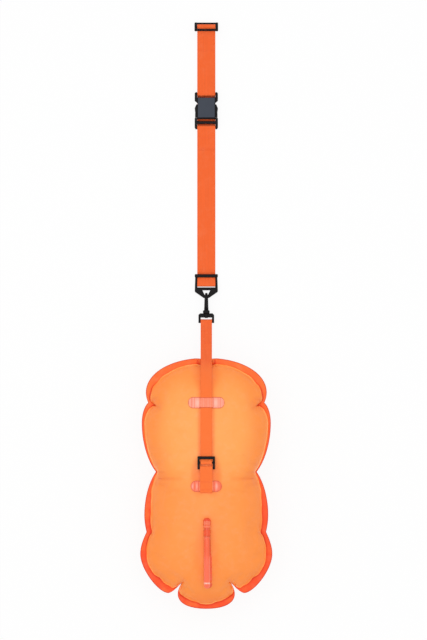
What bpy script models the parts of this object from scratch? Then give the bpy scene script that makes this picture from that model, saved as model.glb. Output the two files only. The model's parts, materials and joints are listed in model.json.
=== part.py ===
"""Open water swim buoy: an inflatable two-panel bladder with a leash, a snap hook and a waist belt.

Metres. +X across, +Y from the bladder towards the belt, +Z up. The buoy lies on its back, and the
origin is at the middle of the flat patch that the back panel rests on.
"""

import math

import bmesh
import bpy
import numpy as np
from mathutils import Matrix, Vector
from mathutils.bvhtree import BVHTree

# Fits that all pieces share
GAP = 0.0003  # between pieces that touch
PIN_GAP = 0.00015  # between a pin and its hole
OVERRUN = 0.0020  # how far a cutter reaches past what it cuts
SMALL_BEVEL = 0.0006  # edge rounding of moulded plastic
BAR_BEVEL = 0.0009  # edge rounding of flat bars
WELD_DISTANCE = 0.00001  # points closer than this become one
CAP_WELD_DISTANCE = 0.000001
SMOOTH_ANGLE = math.radians(35)  # edges sharper than this stay crisp
ARC_STEP = math.radians(22)  # of straps round their bars

# Bladder
BLADDER_HALF_WIDTH = 0.1384
BLADDER_HALF_LENGTH = 0.2625
PANEL_THICKNESS = 0.0006
CROWN_HEIGHT = 0.0690  # of each panel above its flange
REST_CUT = 0.0005  # depth of the flat that the back panel rests on
FLANGE_WIDTH = 0.0120
SPINE_HALF_LENGTH = 0.1500
SPINE_FLAT_HALF_LENGTH = 0.0900
SPINE_DROP = 0.0014  # how much lower the crown is at the spine's ends
CROWN_POWER = 0.6
FLANGE_Z = CROWN_HEIGHT + PANEL_THICKNESS + GAP / 2 - REST_CUT
CROWN_Z = FLANGE_Z + GAP / 2 + PANEL_THICKNESS + CROWN_HEIGHT

# Half outline, from the middle of the bottom edge round to the middle of the top edge, as shares of
# the half width and half length: end point, two handles, steps, spine share, flange share.
OUTLINE_START_SHARES = (0.000, -1.000, -1.000, 0.90)
LOBE_SHARES = (
    (0.432, -0.880, 0.260, -1.000, 0.432, -0.960, 4, -0.975, 0.85),
    (0.376, -0.795, 0.432, -0.846, 0.397, -0.819, 2, -0.940, 0.35),
    (0.574, -0.874, 0.419, -0.838, 0.491, -0.874, 3, -0.880, 0.60),
    (1.000, -0.562, 0.722, -0.874, 1.000, -0.686, 7, -0.667, 0.95),
    (0.905, -0.386, 1.000, -0.488, 0.939, -0.427, 3, -0.520, 0.60),
    (0.938, -0.250, 0.921, -0.350, 0.938, -0.305, 2, -0.347, 0.90),
    (0.762, 0.094, 0.938, -0.114, 0.867, 0.019, 6, 0.120, 0.30),
    (0.977, 0.482, 0.882, 0.172, 0.977, 0.324, 6, 0.613, 0.30),
    (0.880, 0.646, 0.977, 0.564, 0.932, 0.621, 3, 0.767, 1.00),
    (0.915, 0.728, 0.896, 0.667, 0.915, 0.697, 2, 0.827, 0.90),
    (0.166, 1.000, 0.915, 0.868, 0.607, 0.979, 7, 0.980, 1.00),
    (0.000, 0.992, 0.101, 1.000, 0.043, 0.992, 2, 1.000, 1.00),
)
RING_SHARES = (0.06, 0.22, 0.48, 0.88, 1.00)  # from the flange in to the spine
RING_SMOOTHING = (1, 4, 9, 16, 0)

# Leash webbing and its route over the buoy
LEASH_WIDTH = 0.0238
WEBBING_THICKNESS = 0.0014
LEASH_TAIL_END_Y = 0.0850
LEASH_TAIL_RAMP = 0.0100
LEASH_SAMPLES = 60
LEASH_OVERHANG = 0.0010  # past the top flange
LEASH_DOUBLED_LENGTH = 0.0600
LEASH_STEPS = 16
# The curve's two handles between the bend and the eye, as shares along and down
LEASH_HANDLE_SHARES = ((0.34, 0.42), (0.66, 0.80))

# Ladder lock, with heights above the crown
LOCK_HALF_WIDTH = 0.0182
LOCK_RAIL_WIDTH = 0.0043
LOCK_TOP_Y = 0.0580
LOCK_LENGTH = 0.0270
LOCK_ROD_RADIUS = 0.0016
LOCK_MIDDLE_Y = 0.0445
LOCK_BOTTOM_Y = 0.0345
LOCK_TOP_BAR_WIDTH = 0.0060
LOCK_TOP_BAR_HEIGHT = 0.0030
LOCK_RAIL_HEIGHT = 0.0032
LOCK_SLOT_MARGIN = 0.0010
LOCK_RAIL_INSET = 0.00045  # of the rails, behind the top bar's faces

# Keeper and anchor patches
PATCH_THICKNESS = 0.0008
PATCH_BEND_MARGIN = 0.0034  # from a strap's edge to where the patch meets the panel
PATCH_END_SHARE = 0.25
PATCH_STEPS = 5
KEEPER_HALF_LENGTH = 0.0378
KEEPER_WIDTH = 0.0228
KEEPER_Y = 0.1700
KEEPER_END_ROUND = 0.0085
ANCHOR_PATCH_HALF_LENGTH = 0.0325
ANCHOR_PATCH_WIDTH = 0.0232
ANCHOR_PATCH_Y = -0.0046
ANCHOR_PATCH_END_ROUND = 0.0090
ANCHOR_STRAP_WIDTH = 0.0262

# Inflation tube and its base
TUBE_X = 0.0015
TUBE_RADIUS = 0.0067
TUBE_BORE_RADIUS = 0.0048
TUBE_BASE_INSET = 0.0559  # of the base's middle, from the bladder's lower end
TUBE_LIFT_OFF = 0.0116  # from the base to where the tube leaves its elbow and follows the crown
TUBE_STRAIGHT_INSET = 0.0180  # from the spine's lower end to the start of the straight run
TUBE_END_INSET = 0.0393
TUBE_BASE_CLEARANCE = 0.0012  # between the tube's elbow and the base's spigot
TUBE_CAP_ANGLES = (math.radians(84), math.radians(60), math.radians(35))
TUBE_STEPS = 10
BASE_DISC_RADIUS = 0.0090
BASE_DISC_THICKNESS = 0.0008
BASE_SPIGOT_RADIUS = 0.0036
BASE_SPIGOT_HEIGHT = 0.0013
BASE_BORE_RADIUS = 0.0025

# Valve, with lengths measured from the tube's end along +Y
VALVE_SPIGOT_LENGTH = 0.0150
VALVE_BARREL_RADIUS = 0.0056
VALVE_BARREL_LENGTH = 0.0200
VALVE_FLANGE_LENGTH = 0.0012
VALVE_BORE_RADIUS = 0.0034
VALVE_SPRING_ROOM_RADIUS = 0.0047
VALVE_SPRING_ROOM_DEPTH = 0.0110
COLLAR_RADIUS = 0.0073
COLLAR_START = 0.0017
COLLAR_LENGTH = 0.0130
COLLAR_GRIPS = 10
COLLAR_GRIP_RADIUS = 0.0008
MOUTHPIECE_RADIUS = 0.0080
MOUTHPIECE_NECK_RADIUS = 0.0070
MOUTHPIECE_START = 0.0252
MOUTHPIECE_LENGTH = 0.0133
MOUTHPIECE_NECK_LENGTH = 0.0020
MOUTHPIECE_BORE_RADIUS = 0.0021
MOUTHPIECE_STEM_RADIUS = 0.0029
MOUTHPIECE_SKIRT_RADIUS = 0.0041
# The mouthpiece's rounded end, as shares of its radius and of its length back from the tip
MOUTHPIECE_TIP_SHARES = ((0.55, 0.0), (0.86, 0.16), (1.0, 0.45))
SPRING_RADIUS = 0.0038
SPRING_WIRE_RADIUS = 0.0003
SPRING_TURNS = 5
SPRING_POINTS_PER_TURN = 9
SEAL_WIRE_RADIUS = 0.0005
SEAL_POINTS = 8
STEM_ROD_RADIUS = 0.0015
STEM_ROD_LENGTH = 0.0060
STEM_DISC_RADIUS = 0.0042
STEM_DISC_THICKNESS = 0.0014

# Swivel eye, with its lower bar in the leash's fold
EYE_Y = 0.3410
EYE_HALF_WIDTH = 0.0160
EYE_RAIL_WIDTH = 0.0037
EYE_BAR_RADIUS = 0.0017
EYE_THICKNESS = 0.0050
EYE_LENGTH = 0.0194
EYE_RAIL_OVERHANG = 0.0040  # of the rails, below the bar's middle
EYE_TOP_BAR_WIDTH = 0.0079
EYE_BOSS_RADIUS = 0.0050
EYE_BOSS_LENGTH = 0.0080
EYE_CORNER = 0.0030

# Snap hook, edge on to the floor: lengths from its base along +Y, heights from the swivel's axis
HOOK_BEND_RADIUS = 0.0075
HOOK_HALF_THICKNESS = 0.0029
HOOK_BASE_HALF_WIDTH = 0.0066
HOOK_BASE_LENGTH = 0.0060
HOOK_HALF_HEIGHT = 0.0090
HOOK_SHANK_HALF_WIDTH = 0.0042
HOOK_NOSE_HALF_WIDTH = 0.0020
HOOK_EARS_LENGTH = 0.0080
HOOK_BEND_START = 0.0325
HOOK_NOSE_END = 0.0290
HOOK_SECTION_POINTS = 12
HOOK_SECTION_POWER = 0.7  # 1 is an ellipse, less is boxier
HOOK_BEND_STEPS = 9
HOOK_SHANK_TAPER_SHARES = (0.0, 0.1, 0.3)  # of the narrowing towards the nose, at base, middle, bend
HOOK_NOSE_STEPS = 6  # of the bend, after which the hook is as narrow as its nose
HOOK_NOSE_THICKNESS_SHARE = 0.9
STEM_RADIUS = 0.0023
STEM_SEAT_DEPTH = 0.0040
STEM_HEAD_RADIUS = 0.0036
STEM_HEAD_THICKNESS = 0.0014
GATE_PIVOT_ALONG = 0.0100
GATE_PIVOT_HEIGHT = 0.0055
GATE_ROOT_RADIUS = 0.0024
GATE_ROOT_HALF_WIDTH = 0.0017
GATE_HALF_WIDTH = 0.0034
GATE_HALF_THICKNESS = 0.0017
GATE_WIDE_START = 0.0150
GATE_TIP_GAP = 0.0006
GATE_SLOT_FLOOR = 0.0010
GATE_PIN_RADIUS = 0.0010
GATE_SPRING_THICKNESS = 0.0005
# The gate's rounded root: how far before its pivot, and how thick, as shares of the root radius
GATE_ROOT_SHARES = ((0.9, 0.5), (0.5, 0.9), (0.0, 1.0))
GATE_TIP_SHARE = 0.8  # of the gate's half width

# Triangle ring, with lengths from the hook's pivot along the ring
RING_TILT = math.radians(8.8)
RING_BAR_HALF_WIDTH = 0.0019
RING_HALF_THICKNESS = 0.0015
RING_HALF_WIDTH = 0.0236
RING_RAIL_WIDTH = 0.0042
RING_CORNER_ALONG = 0.0125
RING_CROSSBAR_START = 0.0145
RING_CROSSBAR_END = 0.0193
RING_MIDDLE_ALONG = 0.0252
RING_ROD_RADIUS = 0.0018
RING_TOP_BAR_START = 0.0416
RING_TOP_BAR_END = 0.0474
RING_TOP_BAR_THICKNESS = 0.0028
RING_STRAND_DROP = 0.0008  # the front strand's middle under the top bar, below the ring's plane
RING_WINDOW_TIP_HALF_WIDTH = 0.0032
RING_WINDOW_TOP_HALF_WIDTH = 0.0090
RING_TIP_HALF_WIDTH = 0.0052
RING_BEVEL = 0.0005
RING_TOP_WIDTH_SHARE = 0.95  # of the half width, at the top bar

# Belt webbing
BELT_WIDTH = 0.0380
BELT_SPLIT_GAP = 0.0030  # from the ring's top bar to where the front strand starts
BELT_TOP_Y = 0.9590  # the slider's centre bar
BELT_TOP_Z = 0.0115
BELT_FOLD_RUN = 0.0240
BELT_LAYERS_Y = 0.9250
BELT_RISE_LENGTH = 0.0350
BELT_SEWN_TAIL_Y = 0.9060
BELT_JOIN_Y = 0.7000
BELT_TUCK_Y = 0.7050

# Slider
SLIDER_TILT = math.radians(47)
SLIDER_HALF_WIDTH = 0.0244
SLIDER_RAIL_WIDTH = 0.0048
SLIDER_BAR_SPACING = 0.0100
SLIDER_ROD_RADIUS = 0.0020
SLIDER_THICKNESS = 0.0042

# Side-release buckle
BUCKLE_Z = 0.0076
BUCKLE_HALF_WIDTH = 0.0242
BUCKLE_ROD_RADIUS = 0.0022
SLOT_HALF_WIDTH = 0.0194
FEMALE_HALF_HEIGHT = 0.0055
FEMALE_TOP_Y = 0.8217
FEMALE_BAR_Y = 0.8177
FEMALE_SLOT_Y = 0.8105
FEMALE_EAR_Y = 0.8035
FEMALE_NECK_Y = 0.7995
FEMALE_NECK_HALF_WIDTH = 0.0195
FEMALE_WINDOW_TOP_Y = 0.7980
FEMALE_BAND_Y = 0.7775
FEMALE_BAND_HALF_WIDTH = 0.0234
FEMALE_BAND_WALL = 0.0018
FEMALE_MOUTH_Y = 0.7682
FEMALE_CAVITY_HALF_HEIGHT = 0.0032
FEMALE_CORNER = 0.0022
FACE_HALF_WIDTH = 0.0183
FACE_THICKNESS = 0.0006
MALE_BOTTOM_Y = 0.7440
MALE_END_BAR_Y = 0.7481
MALE_BAR_Y = 0.7552
MALE_BAR_WIDTH = 0.0056
MALE_SLOT_LENGTH = 0.0044
MALE_FRONT_WALL = 0.0023
MALE_HALF_HEIGHT = 0.0028
MALE_GUIDE_HALF_WIDTH = 0.0070
MALE_GUIDE_LENGTH = 0.0280
MALE_GUIDE_HALF_HEIGHT = 0.0024
MALE_CORNER = 0.0035
PRONG_HALF_HEIGHT = 0.0026
PRONG_ROOT_INNER = 0.0162
PRONG_ROOT_OUTER = 0.0196
PRONG_CATCH = 0.0014  # how far the shoulder reaches past the band's inner wall
PRONG_PAD_HALF_WIDTH = 0.0241
PRONG_TIP_Y = 0.7960
PRONG_TIP_INNER = 0.0186

# Derived places
STRAP_LIFT = GAP + WEBBING_THICKNESS / 2  # a strap's middle above what it lies on
LAYER_STEP = WEBBING_THICKNESS + GAP
LOCK_WRAP_RADIUS = LOCK_ROD_RADIUS + STRAP_LIFT
LOCK_ROD_Z = CROWN_Z + STRAP_LIFT + LOCK_WRAP_RADIUS
LEASH_STANDING_Z = CROWN_Z + STRAP_LIFT + LAYER_STEP
EYE_WRAP_RADIUS = EYE_BAR_RADIUS + STRAP_LIFT
HOOK_Z = HOOK_BEND_RADIUS + HOOK_HALF_THICKNESS + GAP
HOOK_BASE_Y = EYE_Y + EYE_LENGTH - EYE_RAIL_OVERHANG + GAP * 2
RING_PIVOT_Y = (
    HOOK_BASE_Y + HOOK_BEND_START + HOOK_BEND_RADIUS - HOOK_HALF_THICKNESS
    - GAP - math.hypot(RING_BAR_HALF_WIDTH, RING_HALF_THICKNESS - RING_BEVEL)
)
VALVE_Z = CROWN_Z + GAP + MOUTHPIECE_RADIUS
TUBE_BASE_Y = TUBE_BASE_INSET - BLADDER_HALF_LENGTH
TUBE_LIFT_OFF_Y = TUBE_BASE_Y + TUBE_LIFT_OFF
TUBE_STRAIGHT_Y = TUBE_STRAIGHT_INSET - SPINE_HALF_LENGTH
TUBE_END_Y = TUBE_END_INSET - SPINE_HALF_LENGTH
BELT_FLOOR_Z = WEBBING_THICKNESS / 2
ORANGE = (0.93, 0.16, 0.04)
GATE_TIP_RISE = (HOOK_BEND_RADIUS - GATE_PIVOT_HEIGHT) / (HOOK_NOSE_END - GATE_PIVOT_ALONG)
UP = Vector((0, 0, 1))


# Scene and collections
def clear_scene():
    for obj in list(bpy.data.objects):
        bpy.data.objects.remove(obj, do_unlink=True)


def make_collection(name):
    collection = bpy.data.collections.new(name)
    bpy.context.scene.collection.children.link(collection)
    return collection


clear_scene()
PARTS = make_collection("swim_buoy")
CUTTERS = make_collection("cutters")
CUTTERS.hide_render = True


def make_material(name, colour, roughness, transmission=0.0):
    material = bpy.data.materials.new(name)
    material.use_nodes = True
    shader = material.node_tree.nodes["Principled BSDF"]
    shader.inputs["Base Color"].default_value = (*colour, 1.0)
    shader.inputs["Roughness"].default_value = roughness
    shader.inputs["Transmission Weight"].default_value = transmission
    material.diffuse_color = (*colour, 1.0)
    return material


def add_part(name, data, colour, roughness, transmission=0.0):
    obj = bpy.data.objects.new(name, data)
    data.materials.append(make_material(name, colour, roughness, transmission))
    PARTS.objects.link(obj)
    return obj


def add_cutter(name, data):
    obj = bpy.data.objects.new(name, data)
    obj.display_type = "WIRE"
    obj.hide_render = True
    CUTTERS.objects.link(obj)
    return obj


def add_empty(name, location, rotation=(0, 0, 0), parent=None):
    empty = bpy.data.objects.new(name, None)
    empty.location = location
    empty.rotation_euler = rotation
    empty.parent = parent
    PARTS.objects.link(empty)
    return empty


def attach(parent, *objects):
    for obj in objects:
        obj.parent = parent


def combine(obj, others, operation):
    for other in others:
        modifier = obj.modifiers.new(f"{operation.lower()} {other.name}", "BOOLEAN")
        modifier.operation = operation
        modifier.object = other


# Shapes
def mesh_from(bm, name):
    mesh = bpy.data.meshes.new(name)
    bm.to_mesh(mesh)
    bm.free()
    mesh.shade_smooth()
    mesh.set_sharp_from_angle(angle=SMOOTH_ANGLE)
    return mesh


def box_mesh(name, low, high, bevel=0.0, segments=2):
    """A box between two corners, with its edges rounded."""
    low, high = Vector(low), Vector(high)
    bm = bmesh.new()
    bmesh.ops.create_cube(bm, size=1)
    place = Matrix.Translation((low + high) / 2) @ Matrix.Diagonal((*(high - low), 1))
    bmesh.ops.transform(bm, matrix=place, verts=bm.verts)
    if bevel:
        bmesh.ops.bevel(
            bm, geom=list(bm.edges), offset=bevel, segments=segments, profile=0.5, affect="EDGES"
        )
    return mesh_from(bm, name)


def rod_mesh(name, start, end, radius, sides=12):
    """A round bar between two points."""
    start, end = Vector(start), Vector(end)
    along = end - start
    bm = bmesh.new()
    turn = UP.rotation_difference(along).to_matrix().to_4x4()
    bmesh.ops.create_cone(
        bm, cap_ends=True, segments=sides, radius1=radius, radius2=radius, depth=along.length,
        matrix=Matrix.Translation((start + end) / 2) @ turn,
    )
    return mesh_from(bm, name)


def turned_part(name, profile, colour, roughness, closed=False, steps=20):
    """A turned shape about Z from (radius, height) points that run down its outer side."""
    bm = bmesh.new()
    points = [bm.verts.new((radius, 0, height)) for radius, height in profile]
    for first, second in zip(points, points[1:]):
        bm.edges.new((first, second))
    if closed:
        bm.edges.new((points[-1], points[0]))
    mesh = bpy.data.meshes.new(name)
    bm.to_mesh(mesh)
    bm.free()
    obj = add_part(name, mesh, colour, roughness)
    screw = obj.modifiers.new("turn", "SCREW")
    screw.steps = steps
    screw.render_steps = steps
    screw.use_merge_vertices = True
    screw.merge_threshold = WELD_DISTANCE
    screw.use_smooth_shade = True
    return obj


def spline_curve(name, loops, depth, bevel=0.0):
    """A flat 2D curve through closed loops of points, thickened to both sides."""
    curve = bpy.data.curves.new(name, "CURVE")
    curve.dimensions = "2D"
    curve.fill_mode = "BOTH"
    curve.extrude = depth / 2 - bevel
    curve.bevel_depth = bevel
    curve.offset = -bevel
    curve.bevel_resolution = 0
    for loop in loops:
        spline = curve.splines.new("POLY")
        spline.points.add(len(loop) - 1)
        for point, (across, along) in zip(spline.points, loop):
            point.co = (across, along, 0, 1)
        spline.use_cyclic_u = True
    return curve


def mesh_of_curve(curve, name):
    """The curve's evaluated mesh with its caps welded on."""
    helper = bpy.data.objects.new(name, curve)
    bpy.context.scene.collection.objects.link(helper)
    graph = bpy.context.evaluated_depsgraph_get()
    mesh = bpy.data.meshes.new_from_object(helper.evaluated_get(graph))
    bpy.data.objects.remove(helper, do_unlink=True)
    bm = bmesh.new()
    bm.from_mesh(mesh)
    bpy.data.meshes.remove(mesh)
    bmesh.ops.remove_doubles(bm, verts=bm.verts, dist=CAP_WELD_DISTANCE)
    bmesh.ops.recalc_face_normals(bm, faces=bm.faces)
    return mesh_from(bm, name)


def plate_mesh(name, loops, thickness, bevel=0.0):
    return mesh_of_curve(spline_curve(name, loops, thickness, bevel), name)


def mirrored(half):
    """A closed outline from its right half, given from one end of the middle line to the other."""
    left = [(-across, along) for across, along in reversed(half) if across > 0]
    return list(half) + left


def sheet_mesh(name, rows, flip=False):
    """An open sheet through rows of points, shaped from a grid."""
    rows = np.asarray(rows)
    bm = bmesh.new()
    bmesh.ops.create_grid(bm, x_segments=rows.shape[1] - 1, y_segments=rows.shape[0] - 1, size=1)
    ordered = sorted(bm.verts, key=lambda vert: (round(vert.co.y, 5), round(vert.co.x, 5)))
    for vert, place in zip(ordered, rows.reshape(-1, 3)):
        vert.co = place
    if flip:
        bmesh.ops.reverse_faces(bm, faces=bm.faces)
    return mesh_from(bm, name)


def loft_mesh(name, sections):
    """A closed body through sections of equally many points."""
    bm = bmesh.new()
    rings = [[bm.verts.new(point) for point in section] for section in sections]
    for first, second in zip(rings, rings[1:]):
        for i in range(len(first)):
            after = (i + 1) % len(first)
            bm.faces.new((first[i], first[after], second[after], second[i]))
    bm.faces.new(list(reversed(rings[0])))
    bm.faces.new(rings[-1])
    bmesh.ops.recalc_face_normals(bm, faces=bm.faces)
    return mesh_from(bm, name)


def section(centre, direction, half_width, half_thickness):
    """A rounded section across X, square to a direction in the YZ plane."""
    normal = Vector((0, -direction[1], direction[0])).normalized()
    points = []
    for i in range(HOOK_SECTION_POINTS):
        angle = math.tau * i / HOOK_SECTION_POINTS
        cos, sin = math.cos(angle), math.sin(angle)
        across = math.copysign(abs(cos) ** HOOK_SECTION_POWER, cos) * half_width
        up = math.copysign(abs(sin) ** HOOK_SECTION_POWER, sin) * half_thickness
        points.append(Vector((0, *centre)) + Vector((across, 0, 0)) + normal * up)
    return points


# Straps, as paths of (y, z) points
def bezier(start, first, second, end, steps):
    """Points of a cubic curve after its start."""
    start, first, second, end = map(np.array, (start, first, second, end))
    points = []
    for i in range(1, steps + 1):
        t = i / steps
        points.append(
            (1 - t) ** 3 * start + 3 * t * (1 - t) ** 2 * first
            + 3 * t * t * (1 - t) * second + t ** 3 * end
        )
    return points


def side_step(direction):
    return np.array([-direction[1], direction[0]])


def route(stops):
    """A strap's middle line past stops of (y, z, radius, turn): a turn of 1 goes round with the
    stop on its left, -1 with it on its right, and a radius of 0 is a plain point."""
    legs = []
    for (y1, z1, r1, s1), (y2, z2, r2, s2) in zip(stops, stops[1:]):
        first, second = np.array([y1, z1]), np.array([y2, z2])
        between = second - first
        length = np.linalg.norm(between)
        swing = math.asin((s1 * r1 - s2 * r2) / length)
        heading = math.atan2(between[1], between[0]) + swing
        left = side_step((math.cos(heading), math.sin(heading)))
        legs.append((first - left * s1 * r1, second - left * s2 * r2, heading))
    path = [legs[0][0]]
    for i, (y, z, radius, turn) in enumerate(stops[1:-1]):
        path.append(legs[i][1])
        if radius:
            swept = (legs[i + 1][2] - legs[i][2]) * turn % math.tau
            count = max(1, math.ceil(swept / ARC_STEP))
            for step in range(1, count + 1):
                heading = legs[i][2] + turn * swept * step / count
                left = side_step((math.cos(heading), math.sin(heading)))
                path.append(np.array([y, z]) - left * turn * radius)
    path.append(legs[-1][1])
    return path


def point_stop(y, z):
    return (y, z, 0.0, 1)


def offset_path(path, distance, closed=False):
    """The path moved to its left by a distance, with mitred corners."""
    path = [np.asarray(point, float) for point in path]
    moved = []
    for i, point in enumerate(path):
        before = path[i - 1] if i or closed else None
        after = path[(i + 1) % len(path)] if i + 1 < len(path) or closed else None
        sides = []
        if before is not None:
            sides.append(side_step((point - before) / np.linalg.norm(point - before)))
        if after is not None:
            sides.append(side_step((after - point) / np.linalg.norm(after - point)))
        middle = sum(sides) / len(sides)
        moved.append(point + middle * distance / middle.dot(middle))
    return moved


def round_end(centre, heading, radius, steps=4):
    """Points round the start of a strap, from its right side to its left."""
    angles = [heading - math.pi / 2 - math.pi * i / steps for i in range(1, steps)]
    return [np.array(centre) + radius * np.array([math.cos(a), math.sin(a)]) for a in angles]


def strip_mesh(name, path, width, thickness, origin=(0, 0), closed=False, rounded=False):
    """A strip along a path of (y, z) points, as a flat outline thickened across X."""
    half = thickness / 2
    left, right = offset_path(path, half, closed), offset_path(path, -half, closed)
    if closed:
        loops = [left, right]
    else:
        start = []
        if rounded:
            away = np.asarray(path[1]) - np.asarray(path[0])
            start = round_end(path[0], math.atan2(away[1], away[0]), half)
        loops = [list(reversed(right)) + start + left]
    loops = [[(y - origin[0], z - origin[1]) for y, z in loop] for loop in loops]
    return plate_mesh(name, loops, width)


def strap_part(name, path, width, origin=(0, 0), closed=False, rounded=False):
    mesh = strip_mesh(name, path, width, WEBBING_THICKNESS, origin, closed, rounded)
    strap = add_part(name, mesh, ORANGE, 0.75)
    strap.rotation_euler = (math.pi / 2, 0, math.pi / 2)
    strap.location = (0, *origin)
    return strap


def height_on(path, y):
    """The height of a path that runs towards +Y, at y."""
    ys, zs = zip(*path)
    return float(np.interp(y, ys, zs))


def taut(points):
    """The upper line that a pulled strap takes over points in order of y."""
    line = []
    for point in points:
        while len(line) > 1:
            (y1, z1), (y2, z2) = line[-2], line[-1]
            if (y2 - y1) * (point[1] - z1) - (z2 - z1) * (point[0] - y1) < 0:
                break
            line.pop()
        line.append(point)
    return line


# Bladder
def crown_height(along):
    """Height of the crown over the spine."""
    past = np.clip(np.abs(along) - SPINE_FLAT_HALF_LENGTH, 0, None)
    reach = SPINE_HALF_LENGTH - SPINE_FLAT_HALF_LENGTH
    return CROWN_HEIGHT - SPINE_DROP * (past / reach) ** 2


def half_outline():
    """The outline's right half, with the spine point and flange width that go with each point."""
    scale = np.array([BLADDER_HALF_WIDTH, BLADDER_HALF_LENGTH])
    points = [np.array(OUTLINE_START_SHARES[:2]) * scale]
    spine, flange = [OUTLINE_START_SHARES[2]], [OUTLINE_START_SHARES[3]]
    for x, y, x1, y1, x2, y2, steps, spine_share, flange_share in LOBE_SHARES:
        ends = [np.array(pair) * scale for pair in ((x1, y1), (x2, y2), (x, y))]
        points += bezier(points[-1], *ends, steps)
        spine += list(np.linspace(spine[-1], spine_share, steps + 1)[1:])
        flange += list(np.linspace(flange[-1], flange_share, steps + 1)[1:])
    return np.array(points), np.array(spine) * SPINE_HALF_LENGTH, np.array(flange) * FLANGE_WIDTH


def smoothed(line, passes):
    """The half outline with its scallops evened out, by averaging neighbours."""
    flip = np.array([-1, 1])
    for _ in range(passes):
        before = np.vstack([line[1] * flip, line[:-1]])
        after = np.vstack([line[1:], line[-2] * flip])
        line = (before + 2 * line + after) / 4
    return line


def panel_rows(side):
    """Rows of points from the outline in to the spine. The front panel's side is 1, the back's -1."""
    outline, spine_along, flange = half_outline()
    spine = np.column_stack([np.zeros(len(outline)), spine_along])
    inward = spine - outline
    inward /= np.linalg.norm(inward, axis=1)[:, None]
    edge = outline + inward * flange[:, None]
    lines = [(outline, 0 * spine_along), (edge, 0 * spine_along)]
    for share, passes in zip(RING_SHARES, RING_SMOOTHING):
        start = smoothed(edge, passes)
        rise = (1 - (1 - share) ** 2) ** CROWN_POWER
        lines.append((start + (spine - start) * share, crown_height(spine_along) * rise))
    rows = []
    for line, height in lines:
        z = FLANGE_Z + side * (GAP / 2 + PANEL_THICKNESS + height)
        rows.append(np.column_stack([line, np.clip(z, 0, None)]))
    return rows


def panel(name, side, colour):
    mesh = sheet_mesh(name, panel_rows(side), flip=side < 0)
    obj = add_part(name, mesh, colour, 0.35)
    mirror = obj.modifiers.new("other half", "MIRROR")
    mirror.merge_threshold = WELD_DISTANCE
    wall = obj.modifiers.new("wall", "SOLIDIFY")
    wall.thickness = PANEL_THICKNESS
    wall.offset = -1
    return obj


def tree_of(obj):
    return BVHTree.FromObject(obj, bpy.context.evaluated_depsgraph_get())


def look_down(tree, x, y):
    """The point and normal of a surface under (x, y)."""
    point, normal, _, _ = tree.ray_cast(Vector((x, y, CROWN_Z + CROWN_HEIGHT)), -UP)
    return point, normal


def ridge(tree, ys, x, half_width):
    """The highest line of a surface across a band, as (y, z) points."""
    line = []
    for y in ys:
        hits = [look_down(tree, at, y)[0] for at in (x - half_width, x, x + half_width)]
        line.append((y, max(hit.z for hit in hits if hit)))
    return line


# Leash on the buoy
def leash_line(tree):
    """The leash's middle line from its tucked tail to past the top flange."""
    top = BLADDER_HALF_LENGTH * LOBE_SHARES[-1][1] - GAP
    start = LEASH_TAIL_END_Y + 2 * LEASH_TAIL_RAMP
    ys = np.linspace(start, top, LEASH_SAMPLES)
    flange_end = (BLADDER_HALF_LENGTH + GAP, FLANGE_Z + GAP / 2 + PANEL_THICKNESS)
    line = taut(ridge(tree, ys, 0, LEASH_WIDTH / 2) + [flange_end])
    over = offset_path(line, STRAP_LIFT)
    last = (over[-1] - over[-2]) / np.linalg.norm(over[-1] - over[-2])
    slot = LOCK_TOP_Y - LOCK_TOP_BAR_WIDTH - LOCK_SLOT_MARGIN
    low = CROWN_Z + STRAP_LIFT
    wrap = route(
        [
            point_stop(LEASH_TAIL_END_Y, low),
            (LOCK_MIDDLE_Y, LOCK_ROD_Z, LOCK_WRAP_RADIUS, -1),
            point_stop(slot, LEASH_STANDING_Z),
            point_stop(LEASH_TAIL_END_Y + GAP, LEASH_STANDING_Z),
            point_stop(LEASH_TAIL_END_Y + LEASH_TAIL_RAMP, low),
        ]
    )
    return wrap + over + [over[-1] + last * LEASH_OVERHANG]


def ladder_lock():
    rail = LOCK_HALF_WIDTH - LOCK_RAIL_WIDTH
    end_y = LOCK_TOP_Y - LOCK_LENGTH
    top_bar_z = LEASH_STANDING_Z + STRAP_LIFT
    high = top_bar_z + LOCK_TOP_BAR_HEIGHT
    low = LOCK_ROD_Z - LOCK_ROD_RADIUS
    top_y = LOCK_TOP_Y - LOCK_TOP_BAR_WIDTH
    inset = LOCK_RAIL_INSET
    rail_top, rail_foot, rail_end = high - inset, top_bar_z + inset, LOCK_TOP_Y - inset
    outline = [
        (end_y, low), (LOCK_MIDDLE_Y, low), (top_y - inset, rail_foot), (rail_end, rail_foot),
        (rail_end, rail_top), (top_y - inset, rail_top), (LOCK_MIDDLE_Y, low + LOCK_RAIL_HEIGHT),
        (end_y, low + LOCK_RAIL_HEIGHT),
    ]
    rails = [plate_mesh("lock_rail", [outline], LOCK_RAIL_WIDTH, SMALL_BEVEL / 2) for _ in range(2)]
    lock = add_part("ladder_lock", rails[0], (0.02, 0.02, 0.022), 0.35)
    other = add_cutter("lock_other_rail", rails[1])
    middle = LOCK_HALF_WIDTH - LOCK_RAIL_WIDTH / 2
    for obj, side in ((lock, -1), (other, 1)):
        obj.rotation_euler = (math.pi / 2, 0, math.pi / 2)
        obj.location = (side * middle, 0, 0)
    inside = rail + LOCK_RAIL_WIDTH - SMALL_BEVEL
    helpers = [other]
    for label, y in (("lock_middle_bar", LOCK_MIDDLE_Y), ("lock_bottom_bar", LOCK_BOTTOM_Y)):
        ends = [(-inside, y, LOCK_ROD_Z), (inside, y, LOCK_ROD_Z)]
        helpers.append(add_cutter(label, rod_mesh(label, *ends, LOCK_ROD_RADIUS)))
    bar = box_mesh(
        "lock_top_bar", (-inside, top_y, top_bar_z), (inside, LOCK_TOP_Y, high), SMALL_BEVEL
    )
    helpers.append(add_cutter("lock_top_bar", bar))
    combine(lock, helpers, "UNION")
    return lock


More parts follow.
